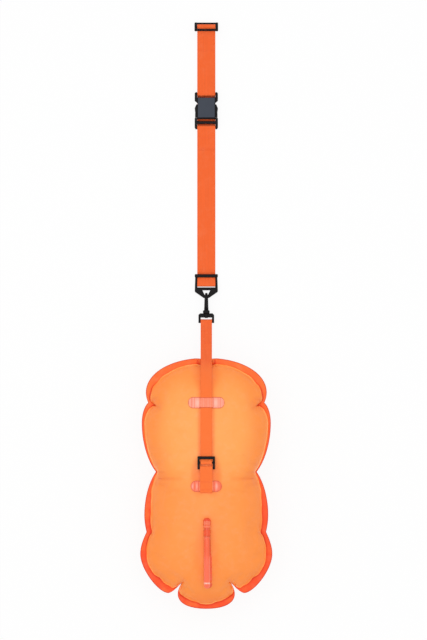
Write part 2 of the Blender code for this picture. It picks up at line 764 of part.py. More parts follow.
def anchor_strap():
    """The sewn loop from the lock's bottom bar round the anchor patch."""
    patch_end = ANCHOR_PATCH_Y - ANCHOR_PATCH_WIDTH / 2
    low = CROWN_Z + STRAP_LIFT
    front = low + LAYER_STEP + PATCH_THICKNESS + GAP
    path = route(
        [
            point_stop(ANCHOR_PATCH_Y, low),
            (LOCK_BOTTOM_Y, LOCK_ROD_Z, LOCK_WRAP_RADIUS, 1),
            point_stop(ANCHOR_PATCH_Y + ANCHOR_PATCH_WIDTH / 2 + LOCK_RAIL_WIDTH, front),
            (patch_end, (low + front) / 2, (front - low) / 2, 1),
            point_stop(ANCHOR_PATCH_Y, low),
        ]
    )
    return strap_part("anchor_strap", path[:-1], ANCHOR_STRAP_WIDTH, closed=True)


def patch(name, tree, y, half_length, width, end_round, strap_half_width, strap_top):
    """A strip across a strap, welded down at both ends. strap_top gives the strap's upper height."""
    edge = strap_half_width + GAP
    foot = edge + PATCH_BEND_MARGIN
    free = half_length - foot
    across = [edge * i / 2 for i in range(2)] + [edge]
    across += [foot + free * i / PATCH_STEPS for i in range(PATCH_STEPS + 1)]
    across = [-x for x in reversed(across[1:])] + across
    rows = []
    for step in range(PATCH_STEPS):
        share = 2 * step / (PATCH_STEPS - 1) - 1
        row = []
        for x in across:
            into = np.clip((abs(x) - half_length + end_round) / end_round, 0, 1)
            narrow = max(PATCH_END_SHARE, math.sqrt(1 - into * into))
            at = y + share * narrow * width / 2
            if abs(x) <= edge:
                z = strap_top(at) + GAP
            else:
                z = look_down(tree, x, at)[0].z + GAP
            row.append((x, at, z))
        rows.append(row)
    obj = add_part(name, sheet_mesh(name, rows), (1.0, 0.36, 0.26), 0.2, 0.3)
    wall = obj.modifiers.new("wall", "SOLIDIFY")
    wall.thickness = PATCH_THICKNESS
    wall.offset = 1
    return obj


# Inflation tube and valve
def tube_base(tree, front):
    """The welded base, its hole in the front panel, and the pivot of the tube's elbow."""
    point, normal = look_down(tree, TUBE_X, TUBE_BASE_Y)
    normal = Vector((0, normal.y, normal.z)).normalized()
    turn = UP.rotation_difference(normal).to_euler()
    top = BASE_DISC_THICKNESS + BASE_SPIGOT_HEIGHT
    profile = [
        (BASE_SPIGOT_RADIUS, top), (BASE_SPIGOT_RADIUS, BASE_DISC_THICKNESS),
        (BASE_DISC_RADIUS, BASE_DISC_THICKNESS / 2), (BASE_DISC_RADIUS, 0),
        (BASE_BORE_RADIUS, 0), (BASE_BORE_RADIUS, top),
    ]
    base = turned_part("valve_base", profile, (1.0, 0.22, 0.12), 0.25, closed=True, steps=24)
    base.location = point + normal * GAP
    base.rotation_euler = turn
    hole = rod_mesh(
        "panel_hole", point - normal * OVERRUN * 2, point + normal * OVERRUN, BASE_BORE_RADIUS
    )
    combine(front, [add_cutter("panel_hole", hole)], "DIFFERENCE")
    pivot = point + normal * (GAP + top + TUBE_BASE_CLEARANCE + TUBE_RADIUS)
    return base, pivot, normal


def tube_curve(name, points, radii, radius):
    curve = bpy.data.curves.new(name, "CURVE")
    curve.dimensions = "3D"
    curve.bevel_depth = radius
    curve.bevel_resolution = 5
    curve.use_fill_caps = True
    spline = curve.splines.new("POLY")
    spline.points.add(len(points) - 1)
    for target, point, share in zip(spline.points, points, radii):
        target.co = (*point, 1)
        target.radius = share
    return curve


def tube_line(tree, pivot):
    """The tube's middle line from its elbow, over the crown, to its straight end."""
    ys = np.linspace(TUBE_LIFT_OFF_Y, TUBE_STRAIGHT_Y, TUBE_STEPS)
    over = offset_path(taut(ridge(tree, ys, TUBE_X, TUBE_RADIUS / 2)), GAP * 2 + TUBE_RADIUS)
    ends = [(TUBE_STRAIGHT_Y + TUBE_RADIUS / 2, VALVE_Z), (TUBE_END_Y, VALVE_Z)]
    line = taut([(pivot.y, pivot.z)] + [tuple(point) for point in over] + ends)
    return [Vector((TUBE_X, y, z)) for y, z in line]


def inflation_tube(tree, pivot, normal):
    line = tube_line(tree, pivot)
    back = (line[0] - line[1]).normalized()
    points = [pivot + back * TUBE_RADIUS * math.sin(angle) for angle in TUBE_CAP_ANGLES] + line
    radii = [math.cos(angle) for angle in TUBE_CAP_ANGLES] + [1.0] * len(line)
    outer = mesh_of_curve(tube_curve("inflation_tube", points, radii, TUBE_RADIUS), "tube")
    tube = add_part("inflation_tube", outer, (1.0, 0.18, 0.10), 0.22, 0.4)
    past = line + [line[-1] + (line[-1] - line[-2]).normalized() * OVERRUN]
    bore = tube_curve("tube_bore", past, [1.0] * len(past), TUBE_BORE_RADIUS)
    inner = add_cutter("tube_bore", mesh_of_curve(bore, "tube_bore"))
    down = rod_mesh(
        "tube_inlet", pivot, pivot - normal * (TUBE_RADIUS + OVERRUN), BASE_BORE_RADIUS
    )
    inlet = add_cutter("tube_inlet", down)
    combine(inner, [inlet], "UNION")
    combine(tube, [inner], "DIFFERENCE")
    for obj in (tube, inner, inlet):
        obj.data.transform(Matrix.Translation(-pivot))
    holder = add_empty("tube_pivot", pivot)
    attach(holder, tube, inner, inlet)
    return holder


def valve_body():
    spigot = TUBE_BORE_RADIUS - GAP
    flange = VALVE_FLANGE_LENGTH
    length = VALVE_BARREL_LENGTH + GAP
    profile = [
        (VALVE_SPRING_ROOM_RADIUS, length), (VALVE_BARREL_RADIUS, length),
        (VALVE_BARREL_RADIUS, GAP + flange), (TUBE_RADIUS, GAP + flange), (TUBE_RADIUS, GAP),
        (spigot, GAP), (spigot, -VALVE_SPIGOT_LENGTH), (VALVE_BORE_RADIUS, -VALVE_SPIGOT_LENGTH),
        (VALVE_BORE_RADIUS, length - VALVE_SPRING_ROOM_DEPTH),
        (VALVE_SPRING_ROOM_RADIUS, length - VALVE_SPRING_ROOM_DEPTH),
    ]
    return turned_part("valve_body", profile, (0.85, 0.10, 0.05), 0.3, closed=True)


def lock_collar():
    start = GAP + COLLAR_START
    end = start + COLLAR_LENGTH
    inner = VALVE_BARREL_RADIUS + GAP
    profile = [
        (inner, end), (COLLAR_RADIUS - SMALL_BEVEL, end), (COLLAR_RADIUS, end - SMALL_BEVEL),
        (COLLAR_RADIUS, start + SMALL_BEVEL), (COLLAR_RADIUS - SMALL_BEVEL, start), (inner, start),
    ]
    collar = turned_part("lock_collar", profile, (0.80, 0.08, 0.04), 0.3, closed=True, steps=30)
    cutters = []
    for i in range(COLLAR_GRIPS):
        angle = math.tau * i / COLLAR_GRIPS
        x, y = COLLAR_RADIUS * math.cos(angle), COLLAR_RADIUS * math.sin(angle)
        low, high = start + COLLAR_GRIP_RADIUS * 2, end - COLLAR_GRIP_RADIUS * 2
        grip = rod_mesh(f"collar_grip_{i}", (x, y, low), (x, y, high), COLLAR_GRIP_RADIUS, 6)
        cutters.append(add_cutter(f"collar_grip_{i}", grip))
    combine(collar, cutters, "DIFFERENCE")
    return collar, cutters


def mouthpiece():
    start = MOUTHPIECE_START
    end = start + MOUTHPIECE_LENGTH
    neck = start + MOUTHPIECE_NECK_LENGTH
    seat = -VALVE_SPIGOT_LENGTH + SEAL_WIRE_RADIUS * 4
    tip = [
        (MOUTHPIECE_RADIUS * wide, end - MOUTHPIECE_LENGTH * back)
        for wide, back in MOUTHPIECE_TIP_SHARES
    ]
    profile = [
        (MOUTHPIECE_BORE_RADIUS, end), *tip,
        (MOUTHPIECE_RADIUS, neck + SMALL_BEVEL * 2), (MOUTHPIECE_NECK_RADIUS, neck),
        (MOUTHPIECE_NECK_RADIUS, start), (MOUTHPIECE_SKIRT_RADIUS, start),
        (MOUTHPIECE_SKIRT_RADIUS, start - MOUTHPIECE_NECK_LENGTH / 2),
        (MOUTHPIECE_STEM_RADIUS, start - MOUTHPIECE_NECK_LENGTH / 2),
        (MOUTHPIECE_STEM_RADIUS, seat), (MOUTHPIECE_BORE_RADIUS, seat),
    ]
    return turned_part("mouthpiece", profile, (1.0, 0.16, 0.08), 0.25, closed=True)


def valve_stem():
    """The disc that seals the spigot's lower end, on a rod in the mouthpiece's bore."""
    top = -VALVE_SPIGOT_LENGTH - SEAL_WIRE_RADIUS * 2 - GAP * 2
    profile = [
        (0, top + STEM_ROD_LENGTH), (STEM_ROD_RADIUS, top + STEM_ROD_LENGTH),
        (STEM_ROD_RADIUS, top), (STEM_DISC_RADIUS, top),
        (STEM_DISC_RADIUS, top - STEM_DISC_THICKNESS), (0, top - STEM_DISC_THICKNESS),
    ]
    return turned_part("valve_stem", profile, (0.75, 0.75, 0.72), 0.4, steps=16)


def valve_seal():
    height = -VALVE_SPIGOT_LENGTH - GAP - SEAL_WIRE_RADIUS
    middle = (VALVE_BORE_RADIUS + TUBE_BORE_RADIUS - GAP) / 2 - SEAL_WIRE_RADIUS / 4
    profile = []
    for i in range(SEAL_POINTS):
        angle = -math.tau * i / SEAL_POINTS
        across = middle + SEAL_WIRE_RADIUS * math.cos(angle)
        profile.append((across, height + SEAL_WIRE_RADIUS * math.sin(angle)))
    return turned_part("valve_seal", profile, (0.03, 0.03, 0.03), 0.6, closed=True, steps=16)


def valve_spring():
    low = GAP + VALVE_BARREL_LENGTH - VALVE_SPRING_ROOM_DEPTH + GAP + SPRING_WIRE_RADIUS
    high = MOUTHPIECE_START - MOUTHPIECE_NECK_LENGTH / 2 - GAP - SPRING_WIRE_RADIUS
    count = SPRING_TURNS * SPRING_POINTS_PER_TURN
    points = []
    for i in range(count + 1):
        angle = math.tau * i / SPRING_POINTS_PER_TURN
        rise = low + (high - low) * i / count
        points.append((SPRING_RADIUS * math.cos(angle), SPRING_RADIUS * math.sin(angle), rise))
    curve = tube_curve("valve_spring", points, [1.0] * len(points), SPRING_WIRE_RADIUS)
    curve.bevel_resolution = 1
    return add_part("valve_spring", curve, (0.6, 0.6, 0.62), 0.3)


def valve(tube_holder, pivot):
    """The valve's pieces, all on one axis along +Y from the tube's end."""
    place = Vector((TUBE_X, TUBE_END_Y, VALVE_Z)) - pivot
    axis = add_empty("valve_axis", place, (-math.pi / 2, 0, 0), tube_holder)
    collar, cutters = lock_collar()
    attach(axis, valve_body(), collar, *cutters)
    press = add_empty("mouthpiece_slide", (0, 0, 0), parent=axis)
    attach(press, mouthpiece(), valve_stem(), valve_seal())
    attach(axis, valve_spring())


# Free end of the leash, swivel eye and snap hook
def leash_free_end(pivot):
    """From the bend over the flange down to the eye, round its bar and back, doubled."""
    bar = np.array([EYE_Y, HOOK_Z])
    reach = bar - np.array(pivot)
    first, second = (pivot + reach * np.array(shares) for shares in LEASH_HANDLE_SHARES)
    line = [np.array(pivot)] + bezier(pivot, first, second, bar, LEASH_STEPS)
    lengths = [0.0]
    for before, after in zip(line, line[1:]):
        lengths.append(lengths[-1] + float(np.linalg.norm(after - before)))
    whole = lengths[-1]
    stop = whole - EYE_WRAP_RADIUS * 3
    upper = [point for point, at in zip(line, lengths) if at < stop]
    lower_start = whole - LEASH_DOUBLED_LENGTH
    doubled = [point for point, at in zip(line, lengths) if lower_start < at < stop]
    lower = offset_path(doubled, -LAYER_STEP)
    stops = [point_stop(*upper[-1]), (*bar, EYE_WRAP_RADIUS, -1), point_stop(*lower[-1])]
    path = upper[:-1] + route(stops) + list(reversed(lower[:-1]))
    return strap_part("leash_free_end", path, LEASH_WIDTH, origin=pivot, rounded=True)


def swivel_eye(holder):
    """A rectangular eye: a round bar in the strap's fold and a boss for the swivel's stem."""
    rail = EYE_HALF_WIDTH - EYE_RAIL_WIDTH
    low = -EYE_RAIL_OVERHANG
    end = EYE_LENGTH + low
    half = EYE_THICKNESS / 2
    start = end - EYE_TOP_BAR_WIDTH
    outline = [
        (-EYE_HALF_WIDTH, low), (-rail, low), (-rail, start),
        (rail, start), (rail, low), (EYE_HALF_WIDTH, low),
        (EYE_HALF_WIDTH, end - EYE_CORNER), (EYE_HALF_WIDTH - EYE_CORNER, end),
        (-EYE_HALF_WIDTH + EYE_CORNER, end), (-EYE_HALF_WIDTH, end - EYE_CORNER),
    ]
    mesh = plate_mesh("swivel_eye", [outline], EYE_THICKNESS, SMALL_BEVEL)
    eye = add_part("swivel_eye", mesh, (0.02, 0.02, 0.022), 0.35)
    inside = rail + EYE_RAIL_WIDTH / 2
    bar = rod_mesh("eye_bar", (-inside, 0, 0), (inside, 0, 0), EYE_BAR_RADIUS)
    boss_end = end + GAP
    boss = rod_mesh(
        "eye_boss", (0, boss_end - EYE_BOSS_LENGTH, 0), (0, boss_end, 0), EYE_BOSS_RADIUS, 16
    )
    bore = rod_mesh(
        "eye_bore", (0, start - half - OVERRUN, 0), (0, end + OVERRUN, 0), STEM_RADIUS + GAP, 16
    )
    helpers = [add_cutter("eye_bar", bar), add_cutter("eye_boss", boss)]
    cutter = add_cutter("eye_bore", bore)
    combine(eye, helpers, "UNION")
    combine(eye, [cutter], "DIFFERENCE")
    attach(holder, eye, cutter, *helpers)


def hook_body(holder):
    """The hook from its base block round the bend to the nose, tapering towards the nose."""
    wide, narrow = HOOK_SHANK_HALF_WIDTH, HOOK_NOSE_HALF_WIDTH
    thin = HOOK_HALF_THICKNESS * HOOK_NOSE_THICKNESS_SHARE
    sections = []
    stations = (HOOK_BASE_LENGTH / 2, HOOK_BEND_START / 2, HOOK_BEND_START)
    for along, share in zip(stations, HOOK_SHANK_TAPER_SHARES):
        half = wide + (narrow - wide) * share
        sections.append(section((along, -HOOK_BEND_RADIUS), (1, 0), half, HOOK_HALF_THICKNESS))
    last = HOOK_SHANK_TAPER_SHARES[-1]
    for i in range(1, HOOK_BEND_STEPS):
        angle = math.pi * i / HOOK_BEND_STEPS - math.pi / 2
        share = last + (1 - last) * min(1, i / HOOK_NOSE_STEPS)
        half = wide + (narrow - wide) * share
        centre = (
            HOOK_BEND_START + HOOK_BEND_RADIUS * math.cos(angle), HOOK_BEND_RADIUS * math.sin(angle)
        )
        heading = (-math.sin(angle), math.cos(angle))
        sections.append(section(centre, heading, half, HOOK_HALF_THICKNESS))
    for along in (HOOK_BEND_START, HOOK_NOSE_END):
        sections.append(section((along, HOOK_BEND_RADIUS), (-1, 0), narrow, thin))
    hook = add_part("hook_body", loft_mesh("hook_body", sections), (0.02, 0.02, 0.022), 0.35)
    base = box_mesh(
        "hook_base", (-HOOK_BASE_HALF_WIDTH, 0, -HOOK_HALF_HEIGHT),
        (HOOK_BASE_HALF_WIDTH, HOOK_BASE_LENGTH, HOOK_HALF_HEIGHT), SMALL_BEVEL * 2,
    )
    ears_end = HOOK_BASE_LENGTH + HOOK_EARS_LENGTH - GATE_PIN_RADIUS
    ears = box_mesh(
        "hook_ears", (-wide, HOOK_BASE_LENGTH - OVERRUN, -HOOK_HALF_HEIGHT),
        (wide, ears_end, HOOK_HALF_HEIGHT), BAR_BEVEL,
    )
    slot_half = GATE_ROOT_HALF_WIDTH + GAP
    slot = box_mesh(
        "gate_slot", (-slot_half, GATE_PIVOT_ALONG - GATE_ROOT_RADIUS - GAP * 3, GATE_SLOT_FLOOR),
        (slot_half, ears_end + OVERRUN, HOOK_HALF_HEIGHT + OVERRUN),
    )
    pivot = (GATE_PIVOT_ALONG, GATE_PIVOT_HEIGHT)
    pin_hole = rod_mesh(
        "pin_hole", (-wide - OVERRUN, *pivot), (wide + OVERRUN, *pivot), GATE_PIN_RADIUS + PIN_GAP
    )
    seat = rod_mesh(
        "stem_seat", (0, -OVERRUN, 0), (0, STEM_SEAT_DEPTH + GAP, 0), STEM_RADIUS + PIN_GAP
    )
    joined = [add_cutter("hook_base", base), add_cutter("hook_ears", ears)]
    cut = [add_cutter(*pair) for pair in (("gate_slot", slot), ("pin_hole", pin_hole))]
    cut.append(add_cutter("stem_seat", seat))
    combine(hook, joined, "UNION")
    combine(hook, cut, "DIFFERENCE")
    attach(holder, hook, *joined, *cut)


def swivel_stem(holder):
    end = -EYE_BOSS_LENGTH - GAP * 2
    profile = [
        (0, STEM_SEAT_DEPTH), (STEM_RADIUS, STEM_SEAT_DEPTH), (STEM_RADIUS, end),
        (STEM_HEAD_RADIUS, end), (STEM_HEAD_RADIUS - SMALL_BEVEL, end - STEM_HEAD_THICKNESS),
        (0, end - STEM_HEAD_THICKNESS),
    ]
    stem = turned_part("swivel_stem", profile, (0.35, 0.35, 0.37), 0.3, steps=12)
    stem.rotation_euler = (-math.pi / 2, 0, 0)
    attach(holder, stem)


def hook_gate(holder):
    """The gate, from its root in the ears to just short of the nose, about its own pivot."""
    pivot = (GATE_PIVOT_ALONG, GATE_PIVOT_HEIGHT)
    tip = np.array([HOOK_NOSE_END - GATE_TIP_GAP, HOOK_BEND_RADIUS]) - pivot
    heading = tip / np.linalg.norm(tip)
    wide = GATE_WIDE_START - GATE_PIVOT_ALONG
    stations = [
        (-GATE_ROOT_RADIUS * back, GATE_ROOT_HALF_WIDTH, GATE_ROOT_RADIUS * thick)
        for back, thick in GATE_ROOT_SHARES
    ]
    stations += [
        (GATE_ROOT_RADIUS, GATE_ROOT_HALF_WIDTH, GATE_HALF_THICKNESS),
        (wide, GATE_ROOT_HALF_WIDTH, GATE_HALF_THICKNESS),
        (wide + GATE_ROOT_HALF_WIDTH / 2, GATE_HALF_WIDTH, GATE_HALF_THICKNESS),
        (float(np.linalg.norm(tip)), GATE_HALF_WIDTH * GATE_TIP_SHARE, GATE_HALF_THICKNESS),
    ]
    sections = [
        section(heading * along, heading, half, thick) for along, half, thick in stations
    ]
    place = add_empty("gate_pivot", (0, *pivot), parent=holder)
    gate = add_part("hook_gate", loft_mesh("hook_gate", sections), (0.02, 0.02, 0.022), 0.35)
    reach = GATE_ROOT_HALF_WIDTH + OVERRUN
    hole = rod_mesh("gate_hole", (-reach, 0, 0), (reach, 0, 0), GATE_PIN_RADIUS + PIN_GAP)
    cutter = add_cutter("gate_hole", hole)
    combine(gate, [cutter], "DIFFERENCE")
    attach(place, gate, cutter)
    wide_half = HOOK_SHANK_HALF_WIDTH
    pin_mesh = rod_mesh("gate_pin", (-wide_half, *pivot), (wide_half, *pivot), GATE_PIN_RADIUS)
    attach(holder, add_part("gate_pin", pin_mesh, (0.5, 0.5, 0.52), 0.3))


def gate_spring(holder):
    """The leaf spring on the slot's floor that presses the gate shut from below."""
    lift = GATE_SPRING_THICKNESS / 2 + GAP
    start = GATE_PIVOT_ALONG - GATE_ROOT_RADIUS
    low = GATE_SLOT_FLOOR + lift
    end = HOOK_BASE_LENGTH + HOOK_EARS_LENGTH - GATE_PIN_RADIUS
    rise = GATE_TIP_RISE * (end - GATE_PIVOT_ALONG)
    high = GATE_PIVOT_HEIGHT + rise - GATE_HALF_THICKNESS - lift
    path = [(start, low), ((start + end) / 2 - lift, low), (end, high)]
    width = GATE_ROOT_HALF_WIDTH * 2 - GAP
    mesh = strip_mesh("gate_spring", path, width, GATE_SPRING_THICKNESS)
    spring = add_part("gate_spring", mesh, (0.5, 0.5, 0.52), 0.3)
    spring.rotation_euler = (math.pi / 2, 0, math.pi / 2)
    attach(holder, spring)


# Triangle ring
def triangle_ring(holder):
    """The ring with its strap end: rails, a crossbar, a round middle bar and a raised top bar."""
    rail = RING_HALF_WIDTH - RING_RAIL_WIDTH
    low = RING_BAR_HALF_WIDTH
    outline = mirrored(
        [
            (RING_TIP_HALF_WIDTH, -low), (RING_HALF_WIDTH - RING_BEVEL, RING_CORNER_ALONG - low),
            (RING_HALF_WIDTH, RING_CORNER_ALONG),
            (RING_HALF_WIDTH * RING_TOP_WIDTH_SHARE, RING_TOP_BAR_END),
            (rail, RING_TOP_BAR_END), (rail, RING_CROSSBAR_END),
        ]
    )
    window = mirrored(
        [
            (RING_WINDOW_TIP_HALF_WIDTH, low),
            (RING_WINDOW_TOP_HALF_WIDTH, RING_CROSSBAR_START - SMALL_BEVEL),
            (RING_WINDOW_TOP_HALF_WIDTH - SMALL_BEVEL, RING_CROSSBAR_START),
        ]
    )
    mesh = plate_mesh("triangle_ring", [outline, window], RING_HALF_THICKNESS * 2, RING_BEVEL)
    ring = add_part("triangle_ring", mesh, (0.02, 0.02, 0.022), 0.35)
    inside = rail + RING_RAIL_WIDTH / 2
    along = RING_MIDDLE_ALONG
    rod = rod_mesh("ring_rod", (-inside, along, 0), (inside, along, 0), RING_ROD_RADIUS)
    floor = STRAP_LIFT - RING_STRAND_DROP
    bar = box_mesh(
        "ring_top_bar", (-RING_HALF_WIDTH, RING_TOP_BAR_START, floor),
        (RING_HALF_WIDTH, RING_TOP_BAR_END, floor + RING_TOP_BAR_THICKNESS), BAR_BEVEL,
    )
    helpers = [add_cutter("ring_rod", rod), add_cutter("ring_top_bar", bar)]
    combine(ring, helpers, "UNION")
    attach(holder, ring, *helpers)


def ring_along(height, z):
    """How far along the ring a line at this height above its plane comes down to z."""
    return (HOOK_Z + height * math.cos(RING_TILT) - z) / math.sin(RING_TILT)


def ring_point(along, height):
    """The (y, z) place of a point given along the ring and above its plane."""
    cos, sin = math.cos(RING_TILT), math.sin(RING_TILT)
    return RING_PIVOT_Y + along * cos + height * sin, HOOK_Z - along * sin + height * cos


# Belt
def belt_webbing(origin):
    """One strap: ring, floor, slider, buckle's web bar, and its sewn end on the slider."""
    ring_wrap = RING_ROD_RADIUS + STRAP_LIFT
    under = -RING_STRAND_DROP
    back = under - LAYER_STEP
    inner = SLIDER_ROD_RADIUS + STRAP_LIFT
    outer = inner + LAYER_STEP
    floor = BELT_FLOOR_Z
    tail, middle, front = (floor + LAYER_STEP * i for i in (1, 2, 3))
    bar_wrap = BUCKLE_ROD_RADIUS + STRAP_LIFT
    rise_y = FEMALE_BAR_Y + BELT_RISE_LENGTH
    past_bar = RING_TOP_BAR_END + BELT_SPLIT_GAP
    path = route(
        [
            point_stop(*ring_point(past_bar, under)),
            point_stop(*ring_point(RING_TOP_BAR_START, under)),
            (*ring_point(RING_MIDDLE_ALONG, 0), ring_wrap, 1),
            point_stop(*ring_point(RING_TOP_BAR_START, back)),
            point_stop(*ring_point(ring_along(back, floor), back)),
            point_stop(BELT_TOP_Y - BELT_FOLD_RUN, floor),
            (BELT_TOP_Y, BELT_TOP_Z, outer, 1),
            point_stop(BELT_LAYERS_Y, front),
            point_stop(rise_y, front),
            (FEMALE_BAR_Y, BUCKLE_Z, bar_wrap, 1),
            point_stop(rise_y, middle),
            point_stop(BELT_LAYERS_Y, middle),
            (BELT_TOP_Y, BELT_TOP_Z, inner, -1),
            point_stop(BELT_LAYERS_Y + LAYER_STEP, tail),
            point_stop(BELT_SEWN_TAIL_Y, tail),
        ]
    )
    return strap_part("belt_webbing", path, BELT_WIDTH, origin=origin)


def belt_front_strand(origin):
    """The front run from the ring up to the sewn loop on the buckle."""
    start_y, start_z = ring_point(RING_TOP_BAR_END + BELT_SPLIT_GAP + GAP, -RING_STRAND_DROP)
    flat, raised = BELT_FLOOR_Z + LAYER_STEP, BELT_FLOOR_Z + LAYER_STEP * 2
    path = [
        (start_y, start_z), (start_y + BELT_RISE_LENGTH / 3, max(flat, start_z)),
        (BELT_JOIN_Y - BELT_RISE_LENGTH, flat), (BELT_JOIN_Y - GAP - LAYER_STEP, raised),
        (BELT_JOIN_Y - GAP, raised),
    ]
    return strap_part("belt_front_strand", path, BELT_WIDTH, origin=origin)


def buckle_end_loop(origin):
    """The sewn loop round the male half's end bar."""
    raised, low = BELT_FLOOR_Z + LAYER_STEP * 2, BELT_FLOOR_Z + LAYER_STEP
    ramp_y = MALE_END_BAR_Y - BELT_RISE_LENGTH / 2
    path = route(
        [
            point_stop(BELT_JOIN_Y, raised),
            point_stop(ramp_y, raised + GAP),
            (MALE_END_BAR_Y, BUCKLE_Z, BUCKLE_ROD_RADIUS + STRAP_LIFT, -1),
            point_stop(ramp_y, low + GAP),
            point_stop(BELT_TUCK_Y, low),
        ]
    )
    return strap_part("buckle_end_loop", path, BELT_WIDTH, origin=origin)


def slider(holder):
    """A three-bar slider with round bars between two rails."""
    inner = SLIDER_HALF_WIDTH - SLIDER_RAIL_WIDTH
    reach = SLIDER_BAR_SPACING + SLIDER_ROD_RADIUS
    half = SLIDER_THICKNESS / 2
    low, high = (-SLIDER_HALF_WIDTH, -reach, -half), (-inner, reach, half)
    frame = add_part(
        "slider", box_mesh("slider", low, high, SMALL_BEVEL * 2), (0.02, 0.02, 0.022), 0.35
    )
    low, high = (inner, -reach, -half), (SLIDER_HALF_WIDTH, reach, half)
    helpers = [add_cutter("slider_rail", box_mesh("slider_rail", low, high, SMALL_BEVEL * 2))]
    inside = inner + SLIDER_RAIL_WIDTH / 2
    for i in (-1, 0, 1):
        at = i * SLIDER_BAR_SPACING
        bar = rod_mesh(f"slider_bar_{i + 1}", (-inside, at, 0), (inside, at, 0), SLIDER_ROD_RADIUS)
        helpers.append(add_cutter(f"slider_bar_{i + 1}", bar))
    combine(frame, helpers, "UNION")
    attach(holder, frame, *helpers)


# Side-release buckle, with its pieces' heights from the buckle's middle plane
def buckle_female(holder):
    """The housing: two plates, a closed neck, a band round the mouth, ears and a web bar."""
    body = mirrored(
        [
            (SLOT_HALF_WIDTH, FEMALE_SLOT_Y), (SLOT_HALF_WIDTH, FEMALE_TOP_Y),
            (BUCKLE_HALF_WIDTH - FEMALE_CORNER, FEMALE_TOP_Y),
            (BUCKLE_HALF_WIDTH, FEMALE_TOP_Y - FEMALE_CORNER), (BUCKLE_HALF_WIDTH, FEMALE_EAR_Y),
            (FEMALE_NECK_HALF_WIDTH, FEMALE_NECK_Y), (FACE_HALF_WIDTH, FEMALE_WINDOW_TOP_Y),
            (FACE_HALF_WIDTH, FEMALE_BAND_Y), (FEMALE_BAND_HALF_WIDTH, FEMALE_BAND_Y),
            (FEMALE_BAND_HALF_WIDTH, FEMALE_MOUTH_Y),
        ]
    )
    mesh = plate_mesh("buckle_female", [body], FEMALE_HALF_HEIGHT * 2, SMALL_BEVEL)
    female = add_part("buckle_female", mesh, (0.075, 0.08, 0.09), 0.4)
    inside = SLOT_HALF_WIDTH + FEMALE_CORNER
    rod = rod_mesh(
        "web_bar", (-inside, FEMALE_BAR_Y, 0), (inside, FEMALE_BAR_Y, 0), BUCKLE_ROD_RADIUS, 14
    )
    top = FEMALE_HALF_HEIGHT
    face = box_mesh(
        "buckle_face", (-FACE_HALF_WIDTH, FEMALE_MOUTH_Y + SMALL_BEVEL, top - SMALL_BEVEL),
        (FACE_HALF_WIDTH, FEMALE_SLOT_Y - SMALL_BEVEL, top + FACE_THICKNESS), SMALL_BEVEL / 2, 1,
    )
    half = FEMALE_BAND_HALF_WIDTH - FEMALE_BAND_WALL
    deep = FEMALE_CAVITY_HALF_HEIGHT
    cavity = box_mesh(
        "buckle_cavity", (-half, FEMALE_MOUTH_Y - OVERRUN, -deep), (half, FEMALE_WINDOW_TOP_Y, deep)
    )
    helpers = [add_cutter("web_bar", rod), add_cutter("buckle_face", face)]
    cutter = add_cutter("buckle_cavity", cavity)
    combine(female, helpers, "UNION")
    combine(female, [cutter], "DIFFERENCE")
    attach(holder, female, cutter, *helpers)


def buckle_male(holder):
    """The frame with its end bar, middle bar and guide tongue."""
    front = MALE_BAR_Y + MALE_BAR_WIDTH + MALE_SLOT_LENGTH + MALE_FRONT_WALL
    outline = mirrored(
        [
            (SLOT_HALF_WIDTH, MALE_BAR_Y), (SLOT_HALF_WIDTH, MALE_BOTTOM_Y),
            (BUCKLE_HALF_WIDTH - MALE_CORNER / 2, MALE_BOTTOM_Y),
            (BUCKLE_HALF_WIDTH, MALE_BOTTOM_Y + MALE_CORNER),
            (BUCKLE_HALF_WIDTH, front - SMALL_BEVEL), (BUCKLE_HALF_WIDTH - SMALL_BEVEL, front),
        ]
    )
    slot_start = MALE_BAR_Y + MALE_BAR_WIDTH
    slot = [
        (-SLOT_HALF_WIDTH, slot_start), (SLOT_HALF_WIDTH, slot_start),
        (SLOT_HALF_WIDTH, slot_start + MALE_SLOT_LENGTH),
        (-SLOT_HALF_WIDTH, slot_start + MALE_SLOT_LENGTH),
    ]
    mesh = plate_mesh("buckle_male", [outline, slot], MALE_HALF_HEIGHT * 2, SMALL_BEVEL)
    male = add_part("buckle_male", mesh, (0.03, 0.03, 0.035), 0.4)
    inside = SLOT_HALF_WIDTH + MALE_CORNER / 2
    y = MALE_END_BAR_Y
    rod = rod_mesh("end_bar", (-inside, y, 0), (inside, y, 0), BUCKLE_ROD_RADIUS, 14)
    guide = box_mesh(
        "guide", (-MALE_GUIDE_HALF_WIDTH, front - SMALL_BEVEL, -MALE_GUIDE_HALF_HEIGHT),
        (MALE_GUIDE_HALF_WIDTH, front + MALE_GUIDE_LENGTH, MALE_GUIDE_HALF_HEIGHT), SMALL_BEVEL,
    )
    helpers = [add_cutter("end_bar", rod), add_cutter("guide", guide)]
    combine(male, helpers, "UNION")
    attach(holder, male, *helpers)
    return front


